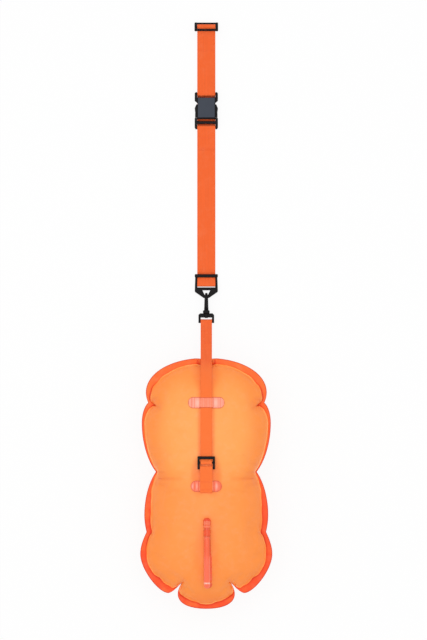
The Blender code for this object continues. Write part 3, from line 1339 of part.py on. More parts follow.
def prong(name, side, root_y, holder):
    """A flexing prong: slim root, catch shoulder behind the band, and a thumb pad."""
    catch = FEMALE_BAND_HALF_WIDTH - FEMALE_BAND_WALL + PRONG_CATCH
    shoulder = FEMALE_BAND_Y + GAP
    middle = (PRONG_ROOT_INNER + PRONG_ROOT_OUTER) / 2
    pad_y = (shoulder + PRONG_TIP_Y) / 2
    start = root_y + GAP
    half = [
        (PRONG_ROOT_INNER, start), (PRONG_ROOT_OUTER, start),
        (PRONG_ROOT_OUTER + GAP, shoulder), (catch, shoulder),
        (PRONG_PAD_HALF_WIDTH, pad_y), (PRONG_PAD_HALF_WIDTH - GAP, pad_y + FEMALE_CORNER),
        (catch - FEMALE_CORNER, PRONG_TIP_Y), (PRONG_TIP_INNER, PRONG_TIP_Y),
        (PRONG_TIP_INNER - FEMALE_CORNER / 2, pad_y),
    ]
    outline = [(side * (x - middle), y - root_y) for x, y in half]
    mesh = plate_mesh(name, [outline], PRONG_HALF_HEIGHT * 2, SMALL_BEVEL / 2)
    obj = add_part(name, mesh, (0.03, 0.03, 0.035), 0.4)
    pivot = add_empty(f"{name}_pivot", (side * middle, root_y, 0), parent=holder)
    attach(pivot, obj)


# Whole buoy
def build():
    front = panel("bladder_front_panel", 1, (1.0, 0.36, 0.10))
    panel("bladder_back_panel", -1, (1.0, 0.34, 0.09))
    tree = tree_of(front)
    leash = leash_line(tree)
    strap_part("leash_on_buoy", leash, LEASH_WIDTH)
    ladder_lock()
    anchor_strap()
    upper = [point for point in leash if point[0] > LEASH_TAIL_END_Y + LEASH_TAIL_RAMP]
    upper = offset_path(upper, WEBBING_THICKNESS / 2)
    patch(
        "keeper_patch", tree, KEEPER_Y, KEEPER_HALF_LENGTH, KEEPER_WIDTH, KEEPER_END_ROUND,
        LEASH_WIDTH / 2, lambda y: height_on(upper, y),
    )
    strap_top = CROWN_Z + GAP + WEBBING_THICKNESS
    patch(
        "anchor_patch", tree, ANCHOR_PATCH_Y, ANCHOR_PATCH_HALF_LENGTH, ANCHOR_PATCH_WIDTH,
        ANCHOR_PATCH_END_ROUND, ANCHOR_STRAP_WIDTH / 2, lambda y: strap_top,
    )
    _, pivot, normal = tube_base(tree, front)
    valve(inflation_tube(tree, pivot, normal), pivot)

    last = (leash[-1] - leash[-2]) / np.linalg.norm(leash[-1] - leash[-2])
    bend = leash[-1] + last * STRAP_LIFT
    leash_free_end(bend)
    swivel_eye(add_empty("eye_pivot", (0, EYE_Y, HOOK_Z)))
    hook = add_empty("hook_swivel", (0, HOOK_BASE_Y, HOOK_Z))
    hook_body(hook)
    swivel_stem(hook)
    hook_gate(hook)
    gate_spring(hook)
    triangle_ring(add_empty("ring_pivot", (0, RING_PIVOT_Y, HOOK_Z), (-RING_TILT, 0, 0)))

    belt_pivot = ring_point(RING_MIDDLE_ALONG, 0)
    belt_webbing(belt_pivot)
    belt_front_strand(belt_pivot)
    buckle_end_loop(belt_pivot)
    slider(add_empty("slider_place", (0, BELT_TOP_Y, BELT_TOP_Z), (-SLIDER_TILT, 0, 0)))
    buckle = add_empty("buckle_place", (0, 0, BUCKLE_Z))
    buckle_female(buckle)
    root_y = buckle_male(buckle)
    prong("prong_left", -1, root_y, buckle)
    prong("prong_right", 1, root_y, buckle)


build()
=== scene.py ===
"""Looks of the open water swim buoy, laid out as a Blender add-on.

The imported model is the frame. +X runs across, +Y from the bladder towards the belt, +Z up, in metres.
"""

import json
import math
import bpy
import numpy as np
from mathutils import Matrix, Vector
from mathutils.bvhtree import BVHTree

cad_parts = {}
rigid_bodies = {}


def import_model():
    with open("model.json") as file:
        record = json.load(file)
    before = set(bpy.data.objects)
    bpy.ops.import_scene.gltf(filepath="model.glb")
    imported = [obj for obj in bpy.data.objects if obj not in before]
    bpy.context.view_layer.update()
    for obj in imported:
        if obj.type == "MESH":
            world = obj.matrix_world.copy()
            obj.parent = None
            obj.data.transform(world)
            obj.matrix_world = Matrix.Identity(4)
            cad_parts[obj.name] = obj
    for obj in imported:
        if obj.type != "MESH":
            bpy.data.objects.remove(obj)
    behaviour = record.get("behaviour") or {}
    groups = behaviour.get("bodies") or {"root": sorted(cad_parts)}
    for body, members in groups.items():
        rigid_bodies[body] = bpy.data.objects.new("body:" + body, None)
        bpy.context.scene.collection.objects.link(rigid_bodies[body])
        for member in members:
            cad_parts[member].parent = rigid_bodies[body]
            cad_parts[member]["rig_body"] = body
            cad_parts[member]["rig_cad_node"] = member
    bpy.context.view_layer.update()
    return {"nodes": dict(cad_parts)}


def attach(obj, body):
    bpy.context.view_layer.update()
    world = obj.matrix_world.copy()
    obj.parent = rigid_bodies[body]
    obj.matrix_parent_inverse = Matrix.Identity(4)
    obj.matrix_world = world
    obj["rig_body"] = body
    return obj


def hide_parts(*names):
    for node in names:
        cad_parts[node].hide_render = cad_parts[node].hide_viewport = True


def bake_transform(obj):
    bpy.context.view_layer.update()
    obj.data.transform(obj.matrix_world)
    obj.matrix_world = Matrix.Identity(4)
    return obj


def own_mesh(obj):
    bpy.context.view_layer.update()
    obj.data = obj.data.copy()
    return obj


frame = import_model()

bl_info = {
    "name": "Open Water Swim Buoy",
    "version": (1, 0, 0),
    "blender": (4, 5, 0),
    "location": "View3D > Sidebar > Swim Buoy",
    "description": "Dresses the swim buoy's frame with film, webbing and moulded plastic",
    "category": "Object",
}

UP = Vector((0, 0, 1))
GAP = 0.0003
WEBBING_THICKNESS = 0.0014
STRAP_LIFT = GAP + WEBBING_THICKNESS / 2
LAYER_STEP = WEBBING_THICKNESS + GAP

# The bladder's outline and dome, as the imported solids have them
HALF_WIDTH = 0.1384
HALF_LENGTH = 0.2625
PANEL_THICKNESS = 0.0006
CROWN_HEIGHT = 0.0690
FLANGE_WIDTH = 0.0120
SPINE_HALF_LENGTH = 0.1500
SPINE_FLAT_HALF_LENGTH = 0.0900
SPINE_DROP = 0.0014
FLANGE_Z = CROWN_HEIGHT + PANEL_THICKNESS + GAP / 2 - 0.0005
CROWN_Z = FLANGE_Z + GAP / 2 + PANEL_THICKNESS + CROWN_HEIGHT
OUTLINE_START_SHARES = (0.000, -1.000, -1.000)  # x, y and the spine point that it is joined to
# The right half's lobes in shares of the half sizes: end, two handles, steps, spine point
LOBE_SHARES = (
    (0.432, -0.880, 0.260, -1.000, 0.432, -0.960, 4, -0.975),
    (0.376, -0.795, 0.432, -0.846, 0.397, -0.819, 2, -0.940),
    (0.574, -0.874, 0.436, -0.820, 0.500, -0.868, 3, -0.880),
    (1.000, -0.562, 0.722, -0.874, 1.000, -0.686, 7, -0.667),
    (0.905, -0.386, 1.000, -0.488, 0.939, -0.427, 3, -0.520),
    (0.938, -0.250, 0.921, -0.350, 0.938, -0.305, 2, -0.347),
    (0.762, 0.094, 0.938, -0.114, 0.867, 0.019, 6, 0.120),
    (0.977, 0.482, 0.882, 0.172, 0.977, 0.324, 6, 0.613),
    (0.880, 0.646, 0.977, 0.564, 0.932, 0.621, 3, 0.767),
    (0.915, 0.728, 0.896, 0.667, 0.915, 0.697, 2, 0.827),
    (0.166, 1.000, 0.915, 0.868, 0.607, 0.979, 7, 0.980),
    (0.000, 0.992, 0.101, 1.000, 0.043, 0.992, 2, 1.000),
)
# How far the lobes' scallops are evened out on the way in to the spine: share of the way, passes
EVENING = ((0.0, 0), (0.02, 10), (0.05, 40), (0.12, 140), (0.3, 400), (1.0, 700))
EVENING_SHARE = 0.85  # the most that a point shifts, as a share of its way in
FINER = 4  # skin points for each point of the solid's outline
FLANGE_SHARES = (0.0, 0.08, 0.3, 0.6, 0.86, 0.93, 1.0)
FLANGE_BEAD = 0.0004  # the weld's bead
FLANGE_BEAD_SHARE = 0.93  # how far in across the flange the bead lies
FLANGE_BEAD_SPREAD_SHARE = 0.05
# Unevenness along the flange: rate, start and height of each wave
FLANGE_WAVES = ((0.83, 0.0, 0.03), (0.31, 1.0, 0.025))
RIPPLE_WAVES = ((23, 0.0, 0.5), (41, 1.3, 0.3), (67, 0.4, 0.2))  # the same, for its ripple
DOME_FULLNESS = 0.6  # the lower, the steeper the dome rises from its weld
SKIN_RINGS = 26
RING_CROWDING = 1.7  # above 1, the skin's rings crowd towards the weld

# Straps and what they pass
STRAP_EDGE_SHARE = 0.30  # how much of its thickness a strap's edge is rounded by
CUT_SHARE = 0.4  # a bend starts at most this far along each leg
LEASH_WIDTH = 0.0238
LOCK_BAR = 0.0016  # the radius that a strap meets at a bar, as all the bars' values here
LOCK_MIDDLE = (0.0445, CROWN_Z + 2 * STRAP_LIFT + LOCK_BAR)
LOCK_BOTTOM = (0.0345, CROWN_Z + 2 * STRAP_LIFT + LOCK_BAR)
LOCK_SLOT_Y = 0.0510
LEASH_TAIL_END_Y = 0.0850
LEASH_TAIL_RAMP = 0.0100
LEASH_OVERHANG = 0.0010  # past the top flange
LEASH_BEND = (0.26489, 0.06921)
LEASH_DOUBLED = 0.0600
LEASH_HANDLE_SHARES = ((0.34, 0.42), (0.66, 0.80))  # the free end's curve, along and down
# Stitches, as places across a strap, and rows over it at places along it
LEASH_STITCH_XS = (-0.0105, -0.0034, 0.0063, 0.0105)
LEASH_STITCH_SPAN = (0.0460, 0.0060)  # back from the eye, as the rows
LEASH_STITCH_ROWS = (0.0055, 0.0085, 0.0440, 0.0470)
ANCHOR_STITCH_X = 0.0115
ANCHOR_STITCH_ROWS = (0.0035, 0.0055, 0.0200, 0.0220)
ANCHOR_STITCH_END_Y = 0.0200
BELT_STITCH_X = 0.0175
SLIDER_STITCH_SPAN_Y = (0.8600, 0.9200)
SLIDER_STITCH_ROWS = (0.0480, 0.0500)
BUCKLE_STITCH_ROWS = (0.0020, 0.0045, 0.0240, 0.0265)
EYE_BAR = (0.3410, 0.0107)
EYE_ROD = 0.0017
EYE_WRAP_RADIUS = EYE_ROD + STRAP_LIFT
ANCHOR_WIDTH = 0.0262
ANCHOR_LOOP_SLACK = 0.0008  # between the loop's two layers
ANCHOR_SLOPE = 0.0043  # past the patch, to where the loop slopes down to the lock
ANCHOR_PATCH_Y = -0.0046
ANCHOR_PATCH_SIZE = (0.0650, 0.0232)
KEEPER_Y = 0.1700
KEEPER_SIZE = (0.0756, 0.0228)
PATCH_LIFT = 0.00025
PATCH_THICKNESS = 0.0007
PATCH_TENT = 0.0030  # from a strap's edge to where the patch meets the film
PATCH_SQUEEZE_SHARES = (0.07, 0.13)  # how much narrower it is over a strap, above and below
PATCH_TIP_SHARE = 0.10  # the least width of its rounded ends
PATCH_WELD_SPREAD = 0.0006
SHINE_SHARES = (1.3, 1.5)  # a streak's strength at the patch's middle, and its fall to the sides
KEEPER_END_ROUND = 0.0100
ANCHOR_END_ROUND = 0.0116
KEEPER_WELDS = (-0.0305, -0.0240, 0.0150, 0.0290)
ANCHOR_WELDS = (-0.0232, -0.0170, 0.0165, 0.0277)
# Bright streaks on each patch: place across and half width
KEEPER_SHINES = ((-0.0186, 0.0046), (0.0196, 0.0044))
ANCHOR_SHINES = ((-0.0285, 0.0016), (-0.0196, 0.0016), (0.0215, 0.0028))
BELT_WIDTH = 0.0380
RING_PIVOT = (0.391653, 0.0107)
RING_TILT = math.radians(8.8)
RING_TOP_BAR = (0.0416, 0.0474)
RING_MIDDLE = 0.0252
RING_BAR = 0.0018
RING_OVERHANG = 0.0030  # how far the straps run past the ring's top bar
# Lengths of a strap's slopes up to the ring, the slider and the buckle's halves, and at its join
RING_SLOPE = 0.0117
SLIDER_SLOPE = 0.0240
FEMALE_SLOPE = 0.0350
MALE_SLOPE = 0.0175
JOIN_SLOPE = 0.0350
STRAND_DROP = 0.0008
SLIDER_BAR = (0.9590, 0.0115)
SLIDER_ROD = 0.0020
SLIDER_MOUTH_Y = 0.9250  # where the strap's layers come together below the slider
BELT_SEWN_TAIL_Y = 0.9060
FEMALE_BAR = (0.8177, 0.0076)
MALE_BAR = (0.7481, 0.0076)
BUCKLE_ROD = 0.0022
BELT_FLOOR = WEBBING_THICKNESS / 2
BELT_JOIN_Y = 0.7000
JOIN_GAP = 0.00004
BELT_TAB_END_Y = 0.7050

# Tube and valve
TUBE_X = 0.0015
TUBE_RADIUS = 0.0067
TUBE_PIVOT = (-0.21208, 0.12972)
TUBE_LIFT_OFF_Y = -0.1950
TUBE_STRAIGHT_Y = -0.1320
TUBE_END = (-0.1107, CROWN_Z + GAP + 0.0080)
TUBE_BASE = (0.0047, -0.2112, 0.0074)  # x, y and radius of the disc under the tube's lower end
# The disc's outline: height, share of its radius
TUBE_BASE_OUTLINE = (
    (0.0, 0.0), (0.0, 0.5), (0.0, 0.85), (0.0004, 0.97), (0.0010, 1.0), (0.0016, 0.97), (0.0021, 0.86),
    (0.0024, 0.5), (0.0024, 0.0),
)
TUBE_CAP_ANGLES = (86, 72, 56, 40, 22)  # degrees round the tube's closed end
SIDE_WELD_THICKNESS = 0.0004
SIDE_WELD_LIFT = 0.0008
# The side weld's inner edge, out from the tube's middle and down, in shares of the tube's radius
SIDE_WELD_ROOT_SHARES = (0.80, 0.60)
# The side weld's outer edge: y and distance out from the tube's middle
SIDE_WELD = ((-0.1130, 0.0069), (-0.1440, 0.0082), (-0.1520, 0.0098), (-0.2000, 0.0104), (-0.2100, 0.0086))
MOUTHPIECE_RIBS = (0.0205, 0.0340, 12, 0.018)  # from, to, count and height as a share of the radius
# The mouthpiece's outline: distance past the tube's end, radius
MOUTHPIECE = (
    (0.0374, 0.0), (0.0374, 0.0014), (0.0392, 0.0019), (0.0399, 0.0028), (0.0396, 0.0044),
    (0.0384, 0.0060), (0.0366, 0.0072), (0.0344, 0.0079), (0.0312, 0.0080), (0.0304, 0.0076),
    (0.0298, 0.0076), (0.0292, 0.0079), (0.0256, 0.0078), (0.0250, 0.0074), (0.0244, 0.0074),
    (0.0238, 0.0078), (0.0200, 0.0077), (0.0191, 0.0075), (0.0190, 0.0072), (0.0196, 0.0070),
    (0.0250, 0.0070), (0.0252, 0.0),
)


def linear(red, green, blue):
    """Scene colour of a colour read off a screen, 0 to 255."""
    shares = [value / 255 for value in (red, green, blue)]
    return tuple(s / 12.92 if s <= 0.04045 else ((s + 0.055) / 1.055) ** 2.4 for s in shares)


def colour_property(name, description, red, green, blue):
    return bpy.props.FloatVectorProperty(
        name=name, description=description, default=linear(red, green, blue),
        subtype="COLOR", size=3, min=0.0, max=1.0,
    )


def length_property(name, description, default):
    return bpy.props.FloatProperty(
        name=name, description=description, default=default, subtype="DISTANCE", unit="LENGTH",
        min=0.0, precision=5,
    )


class StudioSettings(bpy.types.PropertyGroup):
    lens: bpy.props.FloatProperty(
        name="Lens", description="Focal length of the camera", default=600.0, min=20.0
    )
    view_height: length_property("View height", "Height of the picture at the buoy", 1.344)
    centre: bpy.props.FloatVectorProperty(
        name="Centre", description="Where the camera points", default=(0.01512, 0.34293, 0.03),
        size=3, subtype="TRANSLATION", unit="LENGTH",
    )
    sky: bpy.props.FloatProperty(
        name="Sky", description="Strength of the light from all round", default=0.84, min=0.0
    )
    softbox: bpy.props.FloatProperty(
        name="Softbox", description="Power of the soft light above", default=17.0, min=0.0,
        unit="POWER",
    )


class FilmSettings(bpy.types.PropertyGroup):
    # Crown and rim are one film with painted light and shade: paler at the top of the dome, with painted
    # shade low on it
    crown: colour_property("Crown", "Film at the top of the dome", 254, 148, 66)
    rim: colour_property("Rim", "Film low on the dome", 253, 142, 56)
    # Painted pool of light on the upper lobes
    bright: colour_property("Bright crown", "Film where the upper lobes are tightest", 255, 162, 80)
    # Painted light right above the weld. It is also the colour of the painted glow there and of random pale
    # patches on the flange
    foot_light_and_pale: colour_property("Foot", "Film right above the weld", 255, 150, 66)
    shaded: colour_property("Shaded", "Film beside the straps and in folds", 246, 116, 40)
    flange: colour_property("Flange", "Welded film round the lower edge", 245, 84, 40)
    flange_top: colour_property("Upper flange", "Welded film round the upper edge", 248, 108, 46)
    # Painted shade in the film's creases and where the flange folds at the weld
    fold_shade: colour_property("Fold", "Flange where it folds at the weld", 218, 44, 12)
    # Painted highlight along the ridge where the weld ends
    weld: colour_property("Weld line", "Pale line where the weld ends", 255, 196, 124)
    patch: colour_property("Patch", "Clear pink film of the patches", 252, 157, 132)
    patch_coral: colour_property("Anchor patch", "Clear coral film of the anchor patch", 244, 101, 56)
    patch_rim: colour_property("Patch rim", "Patch film at its rim and weld lines", 226, 76, 44)
    patch_over: colour_property("Patch over webbing", "Patch film where it covers a strap", 246, 128, 92)
    wall: length_property("Wall", "Thickness of the film", 0.0006)
    ripple: length_property("Ripple", "Height of the flange's ripple", 0.0006)


class WebbingSettings(bpy.types.PropertyGroup):
    belt: colour_property("Belt", "Belt webbing", 247, 102, 40)
    leash: colour_property("Leash", "Leash webbing", 249, 104, 44)
    # Painted light on the leash where it lies over the film
    leash_lit_over_film: colour_property("Leash over the film", "Leash where it lies over the film", 252, 120, 50)
    thread: colour_property("Thread", "Sewing thread", 238, 96, 48)
    rib: length_property("Rib", "Width of one lengthwise rib of the weave", 0.0011)
    pick: length_property("Pick", "Length of one cross thread of the weave", 0.0009)
    stitch: length_property("Stitch", "Length of one stitch", 0.0026)


class PlasticSettings(bpy.types.PropertyGroup):
    black: colour_property("Black", "Black moulded fittings", 17, 14, 16)
    # Painted reflection of the light on the buckle's flat face, over the black moulding
    face_reflection: colour_property("Buckle grey", "Grey face of the buckle", 62, 67, 77)
    steel: colour_property("Steel", "Pins and springs", 178, 178, 182)


class TubeSettings(bpy.types.PropertyGroup):
    tube: colour_property("Tube", "Tube film", 250, 98, 56)
    # Also the painted shade in the grooves between the mouthpiece's ribs
    valve_dark: colour_property("Dark coral", "Thick parts of the valve's mouldings", 226, 56, 22)
    valve_pale: colour_property("Pale coral", "Ribs that catch the light", 255, 158, 118)
    weld: colour_property("Side weld", "Welded edge along the tube", 252, 84, 34)
    valve: colour_property("Valve", "Valve mouldings", 242, 84, 36)
    rubber: colour_property("Seal", "Rubber seal", 40, 38, 38)


# Working with pieces
def deselect():
    if bpy.context.mode != "OBJECT":
        bpy.ops.object.mode_set(mode="OBJECT")
    bpy.ops.object.select_all(action="DESELECT")


def take(*pieces):
    """Selects these pieces alone, the first one active."""
    deselect()
    for piece in pieces:
        piece.select_set(True)
    bpy.context.view_layer.objects.active = pieces[0]


def named(name):
    """The primitive just added, under its own name."""
    piece = bpy.context.active_object
    piece.name = name
    piece.data.name = name
    return piece


def finish_modifier(piece, kind, **settings):
    """Adds a modifier and applies it."""
    modifier = piece.modifiers.new(kind.title(), kind)
    for key, value in settings.items():
        setattr(modifier, key, value)
    take(piece)
    bpy.ops.object.modifier_apply(modifier=modifier.name)


def shade(piece, degrees=40):
    take(piece)
    bpy.ops.object.shade_smooth_by_angle(angle=math.radians(degrees))


def face_out(piece):
    take(piece)
    bpy.ops.object.mode_set(mode="EDIT")
    bpy.ops.mesh.select_all(action="SELECT")
    bpy.ops.mesh.remove_doubles(threshold=0.00001)
    bpy.ops.mesh.normals_make_consistent(inside=False)
    bpy.ops.object.mode_set(mode="OBJECT")


def paint(piece, material):
    piece.data.materials.clear()
    piece.data.materials.append(material)


def points_of(piece):
    flat = np.empty(len(piece.data.vertices) * 3)
    piece.data.vertices.foreach_get("co", flat)
    return flat.reshape(-1, 3)


def move_points(piece, points):
    piece.data.vertices.foreach_set("co", np.asarray(points, float).ravel())
    piece.data.update()


def point_attribute(piece, name, values):
    attribute = piece.data.attributes.new(name, "FLOAT", "POINT")
    attribute.data.foreach_set("value", np.asarray(values, np.float32))


def tree_of(piece):
    bpy.context.view_layer.update()
    return BVHTree.FromObject(piece, bpy.context.evaluated_depsgraph_get())


def height_under(tree, x, y):
    """Height of a surface under (x, y), seen from above."""
    point = tree.ray_cast(Vector((x, y, CROWN_Z + CROWN_HEIGHT)), -UP)[0]
    return point.z if point else None


# Materials
class Nodes:
    """Adds and links nodes of one tree."""

    def __init__(self, tree):
        self.tree = tree

    def add(self, kind, inputs=None, **settings):
        node = self.tree.nodes.new(kind)
        for key, value in settings.items():
            setattr(node, key, value)
        for key, value in (inputs or {}).items():
            if isinstance(value, bpy.types.NodeSocket):
                self.tree.links.new(value, node.inputs[key])
            else:
                node.inputs[key].default_value = value
        return node

    def math(self, operation, *values, clamp=False):
        inputs = dict(enumerate(values))
        return self.add("ShaderNodeMath", inputs, operation=operation, use_clamp=clamp).outputs[0]

    def band(self, value, low, high):
        """A share from 0 at low to 1 at high."""
        inputs = {"Value": value, "From Min": low, "From Max": high}
        node = self.add("ShaderNodeMapRange", inputs, interpolation_type="SMOOTHSTEP")
        return node.outputs["Result"]

    def between(self, value, low, rise, fall, high):
        """A share of 1 from rise to fall, and 0 before low and after high."""
        return self.math("MULTIPLY", self.band(value, low, rise), self.band(value, high, fall))

    def part(self, mask, share):
        """A mask made weaker."""
        return self.math("MULTIPLY", mask, share)

    def mix(self, share, first, second, blend="MIX"):
        node = self.add("ShaderNodeMix", data_type="RGBA", blend_type=blend)
        # Socket 0 is the share, and 6 and 7 are the two colours
        sockets = node.inputs[0], node.inputs[6], node.inputs[7]
        for socket, value in zip(sockets, (share, first, second)):
            if isinstance(value, bpy.types.NodeSocket):
                self.tree.links.new(value, socket)
            elif socket == node.inputs[0]:
                socket.default_value = value
            else:
                socket.default_value = (*tuple(value)[:3], 1.0)
        return node.outputs[2]

    def noise(self, place, scale, detail=2.0, roughness=0.5):
        inputs = {"Vector": place, "Scale": scale, "Detail": detail, "Roughness": roughness}
        return self.add("ShaderNodeTexNoise", inputs).outputs["Fac"]

    def split(self, vector):
        return self.add("ShaderNodeSeparateXYZ", {0: vector}).outputs

    def object_place(self):
        return self.add("ShaderNodeTexCoord").outputs["Object"]

    def uv_place(self):
        return self.add("ShaderNodeTexCoord").outputs["UV"]


def effect_group(name, inputs, outputs):
    """An empty node group with these sockets, and its nodes, inlet and outlet."""
    tree = bpy.data.node_groups.new(name, "ShaderNodeTree")
    for label, kind, default in inputs:
        socket = tree.interface.new_socket(label, in_out="INPUT", socket_type=kind)
        if default is not None:
            socket.default_value = default
    for label, kind in outputs:
        tree.interface.new_socket(label, in_out="OUTPUT", socket_type=kind)
    nodes = Nodes(tree)
    inlet = nodes.add("NodeGroupInput").outputs
    outlet = nodes.add("NodeGroupOutput").inputs
    return tree, nodes, inlet, outlet


VECTOR, NUMBER, COLOUR = "NodeSocketVector", "NodeSocketFloat", "NodeSocketColor"


def webbing_weave_group():
    """Lengthwise ribs crossed by short threads, each rib half a thread out of step, with painted shade where
    the weave lies low.
    """
    tree, nodes, inlet, outlet = effect_group(
        "Webbing Weave",
        (("Place", VECTOR, None), ("Light", COLOUR, None), ("Dark", COLOUR, None),
         ("Rib", NUMBER, 0.0011), ("Pick", NUMBER, 0.0009)),
        (("Colour", COLOUR), ("Height", NUMBER)),
    )
    across, along, _ = nodes.split(inlet["Place"])
    column = nodes.math("DIVIDE", across, inlet["Rib"])
    step = nodes.math("MULTIPLY", nodes.math("FLOOR", column), 0.5)
    row = nodes.math("ADD", nodes.math("DIVIDE", along, inlet["Pick"]), step)
    rib = nodes.math("SINE", nodes.math("MULTIPLY", nodes.math("FRACT", column), math.pi))
    thread = nodes.math("SINE", nodes.math("MULTIPLY", nodes.math("FRACT", row), math.pi))
    swell = nodes.math("MULTIPLY_ADD", thread, 0.5, 0.5)
    height = nodes.math("MULTIPLY", nodes.math("POWER", rib, 0.6), swell)
    streaks = {"X": nodes.math("MULTIPLY", across, 900.0), "Y": nodes.math("MULTIPLY", along, 9.0)}
    tone = nodes.noise(nodes.add("ShaderNodeCombineXYZ", streaks).outputs[0], 1.0, 3.0)
    lift = nodes.math("MULTIPLY_ADD", tone, 0.9, -0.15)
    # Painted light and shade: the ribs' and threads' high parts lighter, their hollows darker
    lit = nodes.math("MULTIPLY_ADD", height, 0.55, lift, clamp=True)
    tree.links.new(nodes.mix(lit, inlet["Dark"], inlet["Light"]), outlet["Colour"])
    tree.links.new(height, outlet["Height"])
    return tree


def fine_grain_group():
    """Small moulded or coated grain with a slow drift of tone."""
    tree, nodes, inlet, outlet = effect_group(
        "Fine Grain",
        (("Place", VECTOR, None), ("Size", NUMBER, 0.0005)),
        (("Height", NUMBER), ("Tone", NUMBER)),
    )
    scale = nodes.math("DIVIDE", 1.0, inlet["Size"])
    fine = nodes.noise(inlet["Place"], scale, 3.0, 0.6)
    cells = nodes.add("ShaderNodeTexVoronoi", {"Vector": inlet["Place"], "Scale": scale})
    height = nodes.math("MULTIPLY_ADD", cells.outputs["Distance"], 0.35, fine)
    slow = nodes.noise(inlet["Place"], nodes.math("MULTIPLY", scale, 0.02), 4.0)
    tree.links.new(height, outlet["Height"])
    tree.links.new(slow, outlet["Tone"])
    return tree


def edge_wear_group():
    """A mask of rubbed convex edges, broken up by noise."""
    tree, nodes, inlet, outlet = effect_group(
        "Edge Wear", (("Place", VECTOR, None), ("Amount", NUMBER, 0.5)), (("Mask", NUMBER),)
    )
    edge = nodes.band(nodes.add("ShaderNodeNewGeometry").outputs["Pointiness"], 0.52, 0.60)
    broken = nodes.band(nodes.noise(inlet["Place"], 420.0, 3.0), 0.40, 0.62)
    mask = nodes.math("MULTIPLY", nodes.math("MULTIPLY", edge, broken), inlet["Amount"], clamp=True)
    tree.links.new(mask, outlet["Mask"])
    return tree


def settled_dust_group():
    """A mask of faint dust on what faces up."""
    tree, nodes, inlet, outlet = effect_group(
        "Settled Dust", (("Place", VECTOR, None), ("Amount", NUMBER, 0.1)), (("Mask", NUMBER),)
    )
    facing = nodes.split(nodes.add("ShaderNodeNewGeometry").outputs["Normal"])[2]
    clouds = nodes.band(nodes.noise(inlet["Place"], 60.0, 5.0, 0.7), 0.45, 0.75)
    upward = nodes.band(facing, 0.3, 1.0)
    mask = nodes.math("MULTIPLY", nodes.math("MULTIPLY", upward, clouds), inlet["Amount"], clamp=True)
    tree.links.new(mask, outlet["Mask"])
    return tree


GROUP_MAKERS = {
    "Webbing Weave": webbing_weave_group,
    "Fine Grain": fine_grain_group,
    "Edge Wear": edge_wear_group,
    "Settled Dust": settled_dust_group,
}


def effect(nodes, name, inputs):
    """A node of a shared effect, whose group is built the first time it is used."""
    tree = bpy.data.node_groups.get(name) or GROUP_MAKERS[name]()
    return nodes.add("ShaderNodeGroup", inputs, node_tree=tree).outputs


def new_material(name):
    """The material of this name with its nodes and shader, or with None where it was made before."""
    material = bpy.data.materials.get(name)
    if material:
        return material, None, None
    material = bpy.data.materials.new(name)
    material.use_nodes = True
    nodes = Nodes(material.node_tree)
    return material, nodes, material.node_tree.nodes["Principled BSDF"]


def wire(nodes, shader, **sources):
    """Sets or links the shader's sockets, named with underscores for spaces."""
    for key, value in sources.items():
        socket = shader.inputs[key.replace("_", " ")]
        if isinstance(value, bpy.types.NodeSocket):
            nodes.tree.links.new(value, socket)
        else:
            socket.default_value = value


def bump(nodes, height, distance, strength):
    inputs = {"Height": height, "Distance": distance, "Strength": strength}
    return nodes.add("ShaderNodeBump", inputs).outputs["Normal"]


def four(colour, factor=1.0):
    return (*[min(1.0, value * factor) for value in tuple(colour)[:3]], 1.0)


# Ovals on both halves of the film: x, y, half width, half length; and how dark each shade is
FILM_SHADES = (
    (0.0, 0.232, 0.034, 0.050, 0.75), (0.012, 0.150, 0.012, 0.150, 0.22),
    (0.0130, 0.120, 0.0060, 0.130, 0.50), (0.016, 0.016, 0.020, 0.050, 0.70),
    (0.006, -0.150, 0.026, 0.075, 0.35), (0.108, 0.166, 0.022, 0.020, 0.25),
    (0.0, -0.250, 0.060, 0.030, 0.30),
)
# Where the painted pool of light lies on the upper lobes: x, y, half width, half length
UPPER_CROWN_LIGHT = (0.050, 0.110, 0.062, 0.135)
# Painted shade where the flange folds beside the leash
LEASH_FLAP_SHADE = (0.0180, 0.2536, 0.0034, 0.0074)  # where the flange folds beside the leash


